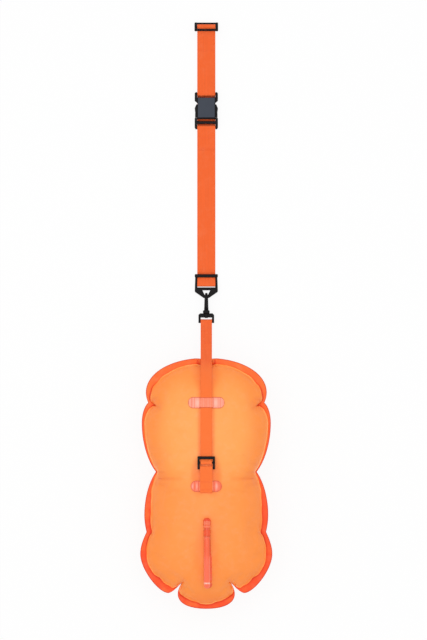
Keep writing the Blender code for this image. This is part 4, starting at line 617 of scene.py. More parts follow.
def bladder_film():
    """Coated film: paler over the crown, redder in the welded flange, with a pale weld line. Light and shade
    are painted into it: a painted pool of light on the upper lobes, painted light and a painted glow just
    above the weld, a painted highlight on the weld line, and painted shade low on the dome, beside the
    straps, in the creases and where the flange folds.
    """
    film = bpy.context.scene.buoy_film
    material, nodes, shader = new_material("Bladder Film")
    if nodes is None:
        return material
    place = nodes.object_place()
    across, along, _ = nodes.split(place)
    seam, edge, fold_shade, dark = (
        nodes.add("ShaderNodeAttribute", attribute_name=name).outputs["Fac"]
        for name in ("from_seam", "from_edge", "fold_shade", "weld_fold_shade")
    )
    grain = effect(nodes, "Fine Grain", {"Place": place, "Size": 0.0006})
    patchy = nodes.noise(place, 34.0, 3.0, 0.6)
    aside = nodes.math("ABSOLUTE", across)

    def spot(x, y, width, length):
        """1 in the middle of an oval on both halves, 0 outside it."""
        over = nodes.math("DIVIDE", nodes.math("SUBTRACT", aside, x), width)
        up = nodes.math("DIVIDE", nodes.math("SUBTRACT", along, y), length)
        away = nodes.math("ADD", nodes.math("MULTIPLY", over, over), nodes.math("MULTIPLY", up, up))
        return nodes.band(away, 1.0, 0.0)

    # Dome
    # Painted shade low on the dome, paler towards the crown
    rise = nodes.band(seam, 0.001, 0.060)
    dome = nodes.mix(rise, four(film.rim), four(film.crown))
    # Painted pool of light on the upper lobes
    dome = nodes.mix(spot(*UPPER_CROWN_LIGHT), dome, four(film.bright))
    # Painted light right above the weld, where the steep wall would render dark
    foot_light_and_pale = nodes.math("SUBTRACT", 1.0, nodes.band(seam, 0.001, 0.006))
    dome = nodes.mix(nodes.part(foot_light_and_pale, 0.40), dome, four(film.foot_light_and_pale))
    for x, y, width, length, strength in FILM_SHADES:
        dome = nodes.mix(nodes.part(spot(x, y, width, length), strength), dome, four(film.shaded))
    drift = nodes.math("MULTIPLY_ADD", grain["Tone"], 0.08, 0.96)
    drift_colour = nodes.add("ShaderNodeCombineColor", {"Red": drift, "Green": drift, "Blue": drift})
    dome = nodes.mix(1.0, dome, drift_colour.outputs[0], "MULTIPLY")
    # Painted shade in the creases
    dome = nodes.mix(nodes.math("MULTIPLY", fold_shade, 0.60, clamp=True), dome, four(film.shaded, 0.93))
    # Flange, redder low on the buoy, with painted shade where it folds at the weld
    flange = nodes.mix(nodes.band(along, -0.10, 0.22), four(film.flange), four(film.flange_top))
    flange = nodes.mix(nodes.part(nodes.band(patchy, 0.45, 0.75), 0.30), flange, four(film.foot_light_and_pale))
    # Painted shade on the flange just outside the weld
    depth = nodes.math("MULTIPLY", nodes.band(seam, -0.0050, -0.0010), nodes.part(dark, 0.85))
    flange = nodes.mix(depth, flange, four(film.fold_shade))
    # Painted shade where the flange folds beside the leash
    flap_shade = nodes.band(spot(*LEASH_FLAP_SHADE), 0.0, 0.6)
    flange = nodes.mix(nodes.part(flap_shade, 0.60), flange, four(film.fold_shade))
    rim = nodes.math("SUBTRACT", 1.0, nodes.band(edge, 0.0008, 0.0022))
    flange = nodes.mix(nodes.part(rim, 0.75), flange, four(film.fold_shade, 0.80))
    colour = nodes.mix(nodes.band(seam, -0.0006, 0.0006), flange, dome)
    # Painted highlight along the ridge where the weld ends
    line = nodes.between(seam, 0.0000, 0.0006, 0.0014, 0.0026)
    line = nodes.math("MULTIPLY", line, nodes.band(patchy, 0.70, 0.35))
    colour = nodes.mix(nodes.part(line, 0.70), colour, four(film.weld))
    # Painted shade in the deepest creases
    colour = nodes.mix(nodes.part(nodes.band(fold_shade, 0.70, 1.0), 0.75), colour, four(film.fold_shade))
    # Painted glow just above the weld, weaker where the painted shade beside it is stronger
    glow = nodes.between(seam, -0.0010, 0.0004, 0.0008, 0.0040)
    glow = nodes.math("MULTIPLY", glow, nodes.math("MULTIPLY_ADD", dark, -0.14, 0.20))
    dust = effect(nodes, "Settled Dust", {"Place": place, "Amount": 0.05})["Mask"]
    colour = nodes.mix(dust, colour, four(linear(250, 226, 206)))
    rough = nodes.math("MULTIPLY_ADD", grain["Tone"], 0.16, 0.34)
    sheen = nodes.math("MULTIPLY_ADD", nodes.band(seam, -0.001, 0.002), 0.22, 0.13)
    wire(
        nodes, shader, Base_Color=colour, Roughness=rough, Coat_Weight=0.06, Coat_Roughness=0.35,
        Specular_IOR_Level=sheen, Emission_Color=four(film.foot_light_and_pale), Emission_Strength=glow,
        Normal=bump(nodes, grain["Height"], 0.00006, 0.5),
    )
    return material


def patch_film():
    """Clear pink film with pressed ribs and weld lines beside the strap, redder at its rim; its ribs have
    painted highlights on their ridges and painted shade in their troughs, and painted highlight streaks lie
    beside the strap.
    """
    film = bpy.context.scene.buoy_film
    material, nodes, shader = new_material("Patch Film")
    if nodes is None:
        return material
    place = nodes.object_place()
    across = nodes.split(place)[0]
    over, rim, weld, shine, depth = (
        nodes.add("ShaderNodeAttribute", attribute_name=name).outputs["Fac"]
        for name in ("over_strap", "from_rim", "weld_line", "shine", "coral")
    )
    streaks = nodes.add("ShaderNodeCombineXYZ", {"X": nodes.math("MULTIPLY", across, 420.0)})
    ribbed = nodes.noise(streaks.outputs[0], 1.0, 3.0, 0.6)
    pale = nodes.mix(depth, four(film.patch), four(film.patch_coral))
    colour = nodes.mix(over, pale, four(film.patch_over))
    # Painted highlight on the ribs' ridges and painted shade in their troughs
    ridge_highlight = nodes.mix(0.5, colour, four(linear(255, 196, 176)))
    colour = nodes.mix(nodes.band(ribbed, 0.50, 0.72), colour, ridge_highlight)
    trough_shade = nodes.mix(0.55, colour, four(film.patch_rim))
    colour = nodes.mix(nodes.band(ribbed, 0.48, 0.30), colour, trough_shade)
    colour = nodes.mix(nodes.part(shine, 0.45), colour, four(linear(255, 206, 190)))
    colour = nodes.mix(nodes.part(weld, 0.60), colour, four(film.patch_rim))
    edge = nodes.math("SUBTRACT", 1.0, nodes.band(rim, 0.0005, 0.0016))
    colour = nodes.mix(nodes.part(edge, 0.90), colour, four(film.patch_rim, 0.85))
    wire(
        nodes, shader, Base_Color=colour, Roughness=0.30, Coat_Weight=0.25, Coat_Roughness=0.15,
        Specular_IOR_Level=0.35, Normal=bump(nodes, ribbed, 0.00030, 0.6),
    )
    return material


def webbing(name, colour, lit_over_buoy=None):
    """Woven strap, on a UV map in metres: across, then along. Where it lies over the film it is paler, as
    painted light.
    """
    cloth = bpy.context.scene.buoy_webbing
    material, nodes, shader = new_material(name)
    if nodes is None:
        return material
    inputs = {
        "Place": nodes.uv_place(), "Light": four(colour, 1.06), "Dark": four(colour, 0.80),
        "Rib": cloth.rib, "Pick": cloth.pick,
    }
    weave = effect(nodes, "Webbing Weave", inputs)
    place = nodes.object_place()
    dust = effect(nodes, "Settled Dust", {"Place": place, "Amount": 0.08})["Mask"]
    tint = nodes.mix(dust, weave["Colour"], four(linear(252, 170, 130)))
    # Painted light on the strap where it lies over the film
    if lit_over_buoy:
        lit = nodes.math("SUBTRACT", 1.0, nodes.band(nodes.split(place)[1], 0.235, 0.262))
        tint = nodes.mix(nodes.part(lit, 0.75), tint, four(lit_over_buoy))
    wire(
        nodes, shader, Base_Color=tint, Roughness=0.72, Sheen_Weight=0.15, Sheen_Roughness=0.4,
        Specular_IOR_Level=0.3, Normal=bump(nodes, weave["Height"], 0.00025, 0.8),
    )
    return material


def thread():
    cloth = bpy.context.scene.buoy_webbing
    material, nodes, shader = new_material("Sewing Thread")
    if nodes is None:
        return material
    place = nodes.object_place()
    wave = {"Vector": place, "Scale": 900.0, "Distortion": 1.0}
    twist = nodes.add("ShaderNodeTexWave", wave).outputs["Fac"]
    colour = nodes.mix(twist, four(cloth.thread, 0.8), four(cloth.thread, 1.15))
    wire(nodes, shader, Base_Color=colour, Roughness=0.6, Normal=bump(nodes, twist, 0.00005, 0.6))
    return material


def moulded(name, colour, roughness, wear=0.5):
    """Moulded plastic with fine grain, rubbed edges and a little dust."""
    material, nodes, shader = new_material(name)
    if nodes is None:
        return material
    place = nodes.object_place()
    grain = effect(nodes, "Fine Grain", {"Place": place, "Size": 0.0004})
    worn = effect(nodes, "Edge Wear", {"Place": place, "Amount": wear})["Mask"]
    dust = effect(nodes, "Settled Dust", {"Place": place, "Amount": 0.05})["Mask"]
    light = [value + (1.0 - value) * 0.02 for value in tuple(colour)[:3]]
    tone = nodes.mix(nodes.math("MULTIPLY", grain["Tone"], 0.5), four(colour, 0.85), four(colour, 1.2))
    tone = nodes.mix(worn, tone, four(light))
    tone = nodes.mix(dust, tone, four([value + 0.02 for value in light]))
    rough = nodes.math("MULTIPLY_ADD", grain["Tone"], 0.2, roughness - 0.1)
    wire(
        nodes, shader, Base_Color=tone, Roughness=rough, Specular_IOR_Level=0.12,
        Normal=bump(nodes, grain["Height"], 0.00003, 0.6),
    )
    return material


def buckle_housing(black, face_reflection):
    """The black housing with a painted reflection of the light on its flat face, which stands higher than the
    rest.
    """
    material = moulded("Buckle Housing", black, roughness=0.45, wear=0.35)
    nodes, shader = Nodes(material.node_tree), material.node_tree.nodes["Principled BSDF"]
    place = nodes.object_place()
    across, _, height = nodes.split(place)
    inside = nodes.math("SUBTRACT", 1.0, nodes.band(nodes.math("ABSOLUTE", across), 0.0174, 0.0178))
    face = nodes.math("MULTIPLY", nodes.band(height, 0.0128, 0.0132), inside)
    grain = effect(nodes, "Fine Grain", {"Place": place, "Size": 0.0005})
    # Painted reflection of the light on the flat face
    reflection_plate = nodes.mix(grain["Tone"], four(face_reflection, 0.92), four(face_reflection, 1.10))
    before = shader.inputs["Base Color"].links[0].from_socket
    wire(nodes, shader, Base_Color=nodes.mix(face, before, reflection_plate))
    return material


def tube_marks(nodes, place, tone, colour):
    """The tube's film: painted shade along the upper half of its side at the weld, paler below, with a
    painted highlight at its low end.
    """
    across, along, _ = nodes.split(place)
    across = nodes.math("SUBTRACT", across, TUBE_X)
    # Painted shade along the tube's right side
    upper = nodes.math("MULTIPLY", nodes.band(across, 0.0040, 0.0062), nodes.band(along, -0.156, -0.146))
    tone = nodes.mix(nodes.part(upper, 0.60), tone, four(colour, 0.55))
    lower = nodes.math("MULTIPLY", nodes.band(across, 0.0050, 0.0058), nodes.band(along, -0.148, -0.156))
    tone = nodes.mix(nodes.part(lower, 0.50), tone, four(linear(255, 168, 130)))
    faded = nodes.band(along, -0.140, -0.165)
    tone = nodes.mix(nodes.part(faded, 0.45), tone, four(linear(255, 122, 96)))
    # Painted highlight where the tube bends down at its low end
    gleam = nodes.between(along, -0.2100, -0.2082, -0.2066, -0.2052)
    gleam = nodes.math("MULTIPLY", gleam, nodes.band(nodes.noise(place, 620.0, 1.0, 0.5), 0.40, 0.52))
    return nodes.mix(nodes.part(gleam, 0.80), tone, four(linear(255, 226, 208)))


def clear_coral(name, colour, marks=None):
    """Glossy tinted film or moulding of the tube and valve."""
    material, nodes, shader = new_material(name)
    if nodes is None:
        return material
    place = nodes.object_place()
    grain = effect(nodes, "Fine Grain", {"Place": place, "Size": 0.0012})
    wear = effect(nodes, "Edge Wear", {"Place": place, "Amount": 0.4})["Mask"]
    tone = nodes.mix(grain["Tone"], four(colour, 0.88), four(colour, 1.08))
    if marks:
        tone = marks(nodes, place, tone, colour)
    tone = nodes.mix(wear, tone, four(linear(255, 176, 150)))
    wire_gloss(nodes, shader, tone, grain)
    return material


def wire_gloss(nodes, shader, tone, grain):
    """The wet gloss that all the coral film and mouldings share."""
    rough = nodes.math("MULTIPLY_ADD", grain["Tone"], 0.12, 0.16)
    wire(
        nodes, shader, Base_Color=tone, Roughness=rough, Coat_Weight=0.35, Coat_Roughness=0.06,
        Specular_IOR_Level=0.3, Normal=bump(nodes, grain["Height"], 0.00003, 0.4),
    )


def mouthpiece_film():
    """The clear cap: dark at its tip, with pale ribs and a pale ring under them; the ribs carry painted
    highlights, with painted shade in the grooves between them.
    """
    settings = bpy.context.scene.buoy_tube
    material, nodes, shader = new_material("Mouthpiece Film")
    if nodes is None:
        return material
    place = nodes.object_place()
    across, along, _ = nodes.split(place)
    past_end = nodes.math("SUBTRACT", along, TUBE_END[0])
    grain = effect(nodes, "Fine Grain", {"Place": place, "Size": 0.0012})
    tone = nodes.mix(grain["Tone"], four(settings.valve, 0.92), four(settings.valve, 1.06))
    tip = nodes.band(past_end, 0.0325, 0.0355)
    tone = nodes.mix(nodes.part(tip, 0.55), tone, four(settings.valve_dark))
    ribs = nodes.between(past_end, 0.0250, 0.0265, 0.0325, 0.0345)
    wave = nodes.math("MULTIPLY", nodes.math("SUBTRACT", across, TUBE_X), math.tau / 0.0042)
    wave = nodes.math("COSINE", wave)
    # Painted highlights on the ribs and painted shade in the grooves between them
    pale = nodes.math("MULTIPLY", ribs, nodes.band(wave, -0.1, 0.7))
    tone = nodes.mix(pale, tone, four(settings.valve_pale))
    groove_shade = nodes.math("MULTIPLY", ribs, nodes.band(wave, -0.4, -0.9))
    tone = nodes.mix(groove_shade, tone, four(settings.valve_dark))
    ring = nodes.between(past_end, 0.0195, 0.0205, 0.0240, 0.0250)
    tone = nodes.mix(nodes.part(ring, 0.35), tone, four(settings.valve_pale))
    wire_gloss(nodes, shader, tone, grain)
    return material


def steel():
    plastic = bpy.context.scene.buoy_plastic
    material, nodes, shader = new_material("Pin Steel")
    if nodes is None:
        return material
    place = nodes.object_place()
    lines = nodes.noise(place, 1500.0)
    colour = nodes.mix(lines, four(plastic.steel, 0.8), four(plastic.steel, 1.1))
    rough = nodes.math("MULTIPLY_ADD", lines, 0.2, 0.2)
    wire(nodes, shader, Base_Color=colour, Roughness=rough, Metallic=1.0)
    return material


# Lines that straps follow, as (y, z) points
def side_step(direction):
    return np.array([-direction[1], direction[0]])


def bezier(start, first, second, end, steps):
    start, first, second, end = map(np.array, (start, first, second, end))
    shares = [i / steps for i in range(1, steps + 1)]
    return [
        (1 - t) ** 3 * start + 3 * t * (1 - t) ** 2 * first + 3 * t * t * (1 - t) * second + t**3 * end
        for t in shares
    ]


def eased_corner(before, corner, after, cut, steps=4):
    """Points of a soft bend in place of a corner."""
    first, second = before - corner, after - corner
    start = corner + first * min(CUT_SHARE, cut / np.linalg.norm(first))
    end = corner + second * min(CUT_SHARE, cut / np.linalg.norm(second))
    shares = [i / steps for i in range(steps + 1)]
    return [(1 - t) ** 2 * start + 2 * t * (1 - t) * corner + t * t * end for t in shares]


def route(stops, arc_step=math.radians(15), cut=0.006):
    """A strap's middle line past stops of (y, z, radius, turn): a turn of 1 goes round with the
    stop on its left, -1 with it on its right, and a radius of 0 is a soft bend."""
    legs = []
    for (y1, z1, r1, s1), (y2, z2, r2, s2) in zip(stops, stops[1:]):
        first, second = np.array([y1, z1]), np.array([y2, z2])
        between = second - first
        swing = math.asin((s1 * r1 - s2 * r2) / np.linalg.norm(between))
        heading = math.atan2(between[1], between[0]) + swing
        left = side_step((math.cos(heading), math.sin(heading)))
        legs.append((first - left * s1 * r1, second - left * s2 * r2, heading))
    path = [legs[0][0]]
    for i, (y, z, radius, turn) in enumerate(stops[1:-1]):
        if not radius:
            path += eased_corner(legs[i][0], legs[i][1], legs[i + 1][1], cut)
            continue
        path.append(legs[i][1])
        swept = (legs[i + 1][2] - legs[i][2]) * turn % math.tau
        count = max(1, math.ceil(swept / arc_step))
        for step in range(1, count + 1):
            heading = legs[i][2] + turn * swept * step / count
            left = side_step((math.cos(heading), math.sin(heading)))
            path.append(np.array([y, z]) - left * turn * radius)
    path.append(legs[-1][1])
    return path


def point_stop(y, z):
    return (y, z, 0.0, 1)


def offset_path(path, distance):
    """The path moved to its left by a distance, with mitred corners."""
    path = [np.asarray(point, float) for point in path]
    moved = []
    for i, point in enumerate(path):
        sides = []
        if i:
            sides.append(side_step((point - path[i - 1]) / np.linalg.norm(point - path[i - 1])))
        if i + 1 < len(path):
            sides.append(side_step((path[i + 1] - point) / np.linalg.norm(path[i + 1] - point)))
        middle = sum(sides) / len(sides)
        moved.append(point + middle * distance / middle.dot(middle))
    return moved


def taut(points):
    """The upper line that a pulled strap takes over points in order of y."""
    line = []
    for point in points:
        while len(line) > 1:
            (y1, z1), (y2, z2) = line[-2], line[-1]
            if (y2 - y1) * (point[1] - z1) - (z2 - z1) * (point[0] - y1) < 0:
                break
            line.pop()
        line.append(point)
    return line


def ridge(tree, ys, x, half_width):
    """The highest line of a surface across a band."""
    line = []
    for y in ys:
        heights = [height_under(tree, at, y) for at in (x - half_width, x, x + half_width)]
        line.append((y, max(height for height in heights if height is not None)))
    return line


def resampled(path, longest):
    """The path with points added so that no step is longer than this."""
    full = [np.asarray(path[0], float)]
    for point in path[1:]:
        point = np.asarray(point, float)
        count = max(1, math.ceil(np.linalg.norm(point - full[-1]) / longest))
        start = full[-1]
        full += [start + (point - start) * i / count for i in range(1, count + 1)]
    return full


def without_repeats(path, least=0.00002):
    kept = [np.asarray(path[0], float)]
    for point in path[1:]:
        if np.linalg.norm(np.asarray(point) - kept[-1]) > least:
            kept.append(np.asarray(point, float))
    return kept


def lengths_along(path):
    steps = [np.linalg.norm(b - a) for a, b in zip(path, path[1:])]
    return np.concatenate([[0.0], np.cumsum(steps)])


def at_length(path, lengths, distance):
    """The point and heading at a distance along a path."""
    i = int(np.clip(np.searchsorted(lengths, distance) - 1, 0, len(path) - 2))
    step = lengths[i + 1] - lengths[i]
    heading = (path[i + 1] - path[i]) / step
    return path[i] + heading * (distance - lengths[i]), heading


# Webbing
def webbing_run(name, path, width, columns=8, closed=False, longest=0.012):
    """A strap drawn out of a short grid by extruding its end along a path, with a rounded edge."""
    path = without_repeats(resampled(without_repeats(path), longest))
    deselect()
    bpy.ops.mesh.primitive_grid_add(x_subdivisions=columns, y_subdivisions=1, size=1)
    strap = named(name)
    points = points_of(strap)
    order = np.lexsort((points[:, 0], points[:, 1]))
    across = np.linspace(-width / 2, width / 2, columns + 1)
    for row in (0, 1):
        for i, x in zip(order[row * (columns + 1):(row + 1) * (columns + 1)], across):
            points[i] = (x, *path[row])
    move_points(strap, points)
    far = set(order[columns + 1:])
    for item in (*strap.data.vertices, *strap.data.edges, *strap.data.polygons):
        item.select = False
    for edge in strap.data.edges:
        edge.select = set(edge.vertices) <= far
    for i in far:
        strap.data.vertices[int(i)].select = True
    bpy.ops.object.mode_set(mode="EDIT")
    bpy.context.tool_settings.mesh_select_mode = (False, True, False)
    for before, after in zip(path[1:], path[2:]):
        step = (0.0, after[0] - before[0], after[1] - before[1])
        bpy.ops.mesh.extrude_edges_move(TRANSFORM_OT_translate={"value": step})
    bpy.ops.object.mode_set(mode="OBJECT")
    lay_uv(strap, path, width, columns)
    if closed:
        face_out(strap)
    finish_modifier(
        strap, "SOLIDIFY", thickness=WEBBING_THICKNESS, offset=0.0, use_even_offset=True,
        thickness_clamp=0.0,
    )
    finish_modifier(
        strap, "BEVEL", width=WEBBING_THICKNESS * STRAP_EDGE_SHARE, segments=2, limit_method="ANGLE",
        angle_limit=math.radians(60), use_clamp_overlap=True,
    )
    shade(strap, 50)
    return strap


def lay_uv(strap, path, width, columns):
    """A UV map in metres, across and along, from the order in which the rows were drawn."""
    points = points_of(strap)
    rows = np.arange(len(points)) // (columns + 1)
    lengths = lengths_along(path)
    placed = np.array([path[row] for row in rows])
    if np.abs(points[:, 1:] - placed).max() > 0.00005:
        raise RuntimeError(f"{strap.name}: its rows don't follow the path")
    uv = strap.data.uv_layers.active or strap.data.uv_layers.new(name="UVMap")
    corners = np.empty(len(strap.data.loops), int)
    strap.data.loops.foreach_get("vertex_index", corners)
    flat = np.column_stack([points[corners, 0] + width / 2, lengths[rows[corners]]])
    uv.data.foreach_set("uv", flat.ravel())


STITCH_LIFT = 0.00008
STITCH_SHARE = 0.42  # half of a stitch's thread, as a share of the step to the next one
STITCH_HALVES = (0.00030, 0.00020)  # half width and half height
STITCH_SINK = 0.00010  # how far its ends sink into the strap


def stitch_rows(name, path, rows, body):
    """Stitches along rows of (x, start, end, step across) on a strap's face. A row with a step
    across runs over the strap at its start, and one without runs along it."""
    cloth = bpy.context.scene.buoy_webbing
    path = without_repeats(path)
    lengths = lengths_along(path)
    lift = WEBBING_THICKNESS / 2 + STITCH_LIFT
    places = []
    for x, start, end, reach in rows:
        span = reach if reach else end - start
        count = max(1, int(abs(span) / cloth.stitch))
        for i in range(count):
            share = (i + 0.5) / count
            point, heading = at_length(path, lengths, start if reach else start + span * share)
            normal = side_step(heading)
            spot = point + normal * lift
            at = Vector((x + reach * share if reach else x, *spot))
            forward = Vector((1, 0, 0)) if reach else Vector((0, *heading))
            places.append((at, forward, Vector((0, *normal))))
    return stitches(name, places, body)


def stitches(name, places, body):
    """One stitch, shaped from a ball, copied to each place."""
    cloth = bpy.context.scene.buoy_webbing
    deselect()
    bpy.ops.mesh.primitive_uv_sphere_add(segments=6, ring_count=5, radius=1)
    first = named(name)
    half_length = cloth.stitch * STITCH_SHARE
    shape = points_of(first) * (half_length, *STITCH_HALVES)
    shape[:, 2] -= STITCH_SINK * (shape[:, 0] / half_length) ** 2
    copies = [first]
    for _ in places[1:]:
        copy = first.copy()
        copy.data = first.data.copy()
        bpy.context.scene.collection.objects.link(copy)
        copies.append(copy)
    for copy, (at, forward, normal) in zip(copies, places):
        turn = np.array([forward, normal.cross(forward), normal])
        move_points(copy, shape @ turn + np.array(at))
    take(*copies)
    if len(copies) > 1:
        bpy.ops.object.join()
    piece = bpy.context.active_object
    shade(piece, 80)
    paint(piece, thread())
    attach(piece, body)
    return piece


# Bladder skin
# The flange at steps along the outline: step, share of its width, how dark the painted shade is where it
# folds at the weld
FLANGE_STOPS = (
    (0.0, 0.74, 0.6), (0.5, 0.78, 0.6), (0.9, 1.08, 0.4), (2.0, 1.14, 0.6), (3.0, 1.02, 1.0),
    (3.6, 0.66, 0.9), (4.2, 0.34, 0.4), (5.5, 0.28, 0.5), (6.0, 0.18, 0.9), (6.6, 0.34, 0.6),
    (7.0, 0.56, 0.4), (8.0, 0.95, 0.3), (9.0, 1.20, 0.1), (10.0, 1.34, 0.2), (11.0, 1.33, 0.3),
    (12.0, 1.38, 0.8), (12.8, 1.04, 0.5), (14.0, 0.93, 0.2), (15.0, 1.03, 0.3), (16.0, 1.14, 0.3),
    (17.0, 1.07, 0.8), (17.5, 1.00, 1.0), (18.0, 0.98, 1.0), (18.25, 1.05, 1.0), (18.5, 1.17, 1.0),
    (18.75, 1.08, 0.8), (19.0, 0.98, 0.7), (19.5, 0.92, 0.6), (20.0, 0.99, 0.6), (21.0, 1.08, 0.4),
    (22.0, 1.08, 0.2), (23.0, 0.95, 0.0), (24.0, 0.68, 0.0), (25.0, 0.52, 0.0), (26.0, 0.38, 0.1),
    (27.0, 0.24, 0.3), (28.0, 0.28, 0.1), (29.0, 0.34, 0.0), (31.0, 0.42, 0.0), (33.0, 0.45, 0.1),
    (34.0, 0.58, 0.2), (35.0, 0.77, 0.3), (35.5, 1.00, 0.5), (36.0, 1.10, 0.8), (36.25, 1.45, 0.9),
    (36.5, 1.00, 1.0), (36.75, 0.70, 1.0), (37.25, 0.78, 1.0), (38.0, 0.96, 1.0), (39.0, 1.15, 0.8),
    (40.0, 1.30, 0.3), (41.0, 1.23, 0.1), (42.0, 1.20, 0.0), (43.0, 1.15, 0.0), (44.0, 0.98, 0.0),
    (45.0, 1.02, 0.4), (45.6, 1.10, 0.9), (47.0, 1.00, 0.4),
)


def flange_shares(count, column):
    """One of the flange's stops eased along the outline's points."""
    steps = [stop[0] for stop in FLANGE_STOPS]
    return np.interp(np.arange(count) / FINER, steps, [stop[column] for stop in FLANGE_STOPS])


def waves(along, table, middle=0):
    """A sum of sine waves round a middle, from rows of rate, start and height."""
    return sum((height * np.sin(along * rate + start) for rate, start, height in table), middle)


def fine_outline():
    """The outline's right half with its spine points and flange widths, in fine steps."""
    scale = np.array([HALF_WIDTH, HALF_LENGTH])
    points = [np.array(OUTLINE_START_SHARES[:2]) * scale]
    spine = [OUTLINE_START_SHARES[2]]
    for x, y, x1, y1, x2, y2, steps, spine_share in LOBE_SHARES:
        ends = [np.array(pair) * scale for pair in ((x1, y1), (x2, y2), (x, y))]
        count = steps * FINER
        points += bezier(points[-1], *ends, count)
        spine += list(np.linspace(spine[-1], spine_share, count + 1)[1:])
    wander = np.arange(len(points))
    widths = flange_shares(len(points), 1) * waves(wander, FLANGE_WAVES, 1) * FLANGE_WIDTH
    return np.array(points), np.array(spine) * SPINE_HALF_LENGTH, widths


def evened(line, passes):
    flip = np.array([-1, 1])
    for _ in range(passes):
        before = np.vstack([line[1] * flip, line[:-1]])
        after = np.vstack([line[1:], line[-2] * flip])
        line = (before + 2 * line + after) / 4
    return line


def dome_height(along, share):
    past = np.clip(np.abs(along) - SPINE_FLAT_HALF_LENGTH, 0, None)
    reach = SPINE_HALF_LENGTH - SPINE_FLAT_HALF_LENGTH
    top = CROWN_HEIGHT - SPINE_DROP * (past / reach) ** 2
    return top * (1 - (1 - share) ** 2) ** DOME_FULLNESS


def skin_rows():
    """Rows from the outline in to the spine: (x, y), height over the flange, distances from weld and edge."""
    outline, spine_along, flange = fine_outline()
    spine = np.column_stack([np.zeros(len(outline)), spine_along])
    inward = spine - outline
    inward /= np.linalg.norm(inward, axis=1)[:, None]
    edge = outline + inward * flange[:, None]
    rows = []
    for share in FLANGE_SHARES:
        off = (share - FLANGE_BEAD_SHARE) / FLANGE_BEAD_SPREAD_SHARE
        bead = FLANGE_BEAD * math.exp(-(off**2))
        line = outline + (edge - outline) * share
        rows.append((line, np.full(len(outline), bead), flange * (share - 1), flange * share))
    for k in range(1, SKIN_RINGS + 1):
        share = (k / SKIN_RINGS) ** RING_CROWDING
        passes = int(np.interp(share, *zip(*EVENING)))
        shift = evened(edge, passes) - edge
        size = np.linalg.norm(shift, axis=1)
        most = EVENING_SHARE * share * np.linalg.norm(spine - edge, axis=1)
        shift *= np.minimum(1.0, most / np.maximum(size, 1e-9))[:, None]
        start = edge + shift * (1 - share**4)
        line = start + (spine - start) * share
        distance = np.linalg.norm(line - edge, axis=1)
        rows.append((line, dome_height(spine_along, share), distance, distance + flange))
    return rows


# A crease pressed in this deep takes its full painted shade
DEEP_CREASE = 0.0026  # pressed in this far, a fold takes its full colour
CREASE_FADE_SHARE = 0.75  # how much shallower a crease is at its end
# Creases and dents of the film: start, end, half width, depth
CREASES = (
    ((0.0125, 0.2580), (0.0215, 0.2440), 0.0026, 0.0026),
    ((0.0150, 0.2560), (0.0300, 0.2500), 0.0030, 0.0014),
    ((0.1090, 0.1640), (0.0980, 0.1590), 0.0030, 0.0030),
    ((0.1130, 0.1740), (0.1040, 0.1800), 0.0026, 0.0014),
    ((0.1020, 0.0236), (0.0860, 0.0248), 0.0020, 0.0026),
    ((0.0960, 0.0190), (0.0800, 0.0180), 0.0030, 0.0016),
    ((0.0980, 0.0110), (0.0520, 0.0112), 0.0042, 0.0024),
    ((0.1040, 0.0010), (0.0820, -0.0040), 0.0046, 0.0016),
    ((0.1040, 0.0400), (0.0930, 0.0440), 0.0026, 0.0014),
    ((0.1160, -0.1040), (0.1060, -0.1030), 0.0026, 0.0022),
    ((0.1170, -0.0900), (0.1060, -0.0860), 0.0024, 0.0012),
    ((0.0990, -0.1990), (0.0910, -0.1900), 0.0026, 0.0018),
    ((0.1040, -0.1880), (0.0960, -0.1820), 0.0022, 0.0010),
    ((0.0520, -0.2060), (0.0470, -0.1990), 0.0030, 0.0020),
    ((0.0640, -0.2200), (0.0600, -0.2120), 0.0024, 0.0014),
    ((0.0480, -0.2330), (0.0430, -0.2270), 0.0026, 0.0018),
    ((0.0100, -0.2540), (0.0110, -0.2450), 0.0026, 0.0014),
    ((0.0460, 0.2470), (0.0430, 0.2390), 0.0024, 0.0012),
    ((0.0900, 0.2300), (0.0840, 0.2240), 0.0024, 0.0010),
    ((0.1260, 0.1020), (0.1180, 0.1000), 0.0026, 0.0010),
    ((0.1180, 0.0760), (0.1080, 0.0760), 0.0026, 0.0010),
)


def creased(points, side):
    """The points pressed in along each crease, on both halves, and how deep each lies in one."""
    plan = points[:, :2].copy()
    folds = np.zeros(len(points))
    plan[:, 0] = np.abs(plan[:, 0])
    for start, end, width, depth in CREASES:
        start, end = np.array(start), np.array(end)
        along = end - start
        share = np.clip((plan - start) @ along / along.dot(along), 0, 1)
        away = np.linalg.norm(plan - (start + share[:, None] * along), axis=1)
        fade = 1 - CREASE_FADE_SHARE * share
        pressed = depth * fade * np.exp(-((away / width) ** 2))
        points[:, 2] -= side * pressed
        folds = np.maximum(folds, pressed / DEEP_CREASE)
    return points, folds


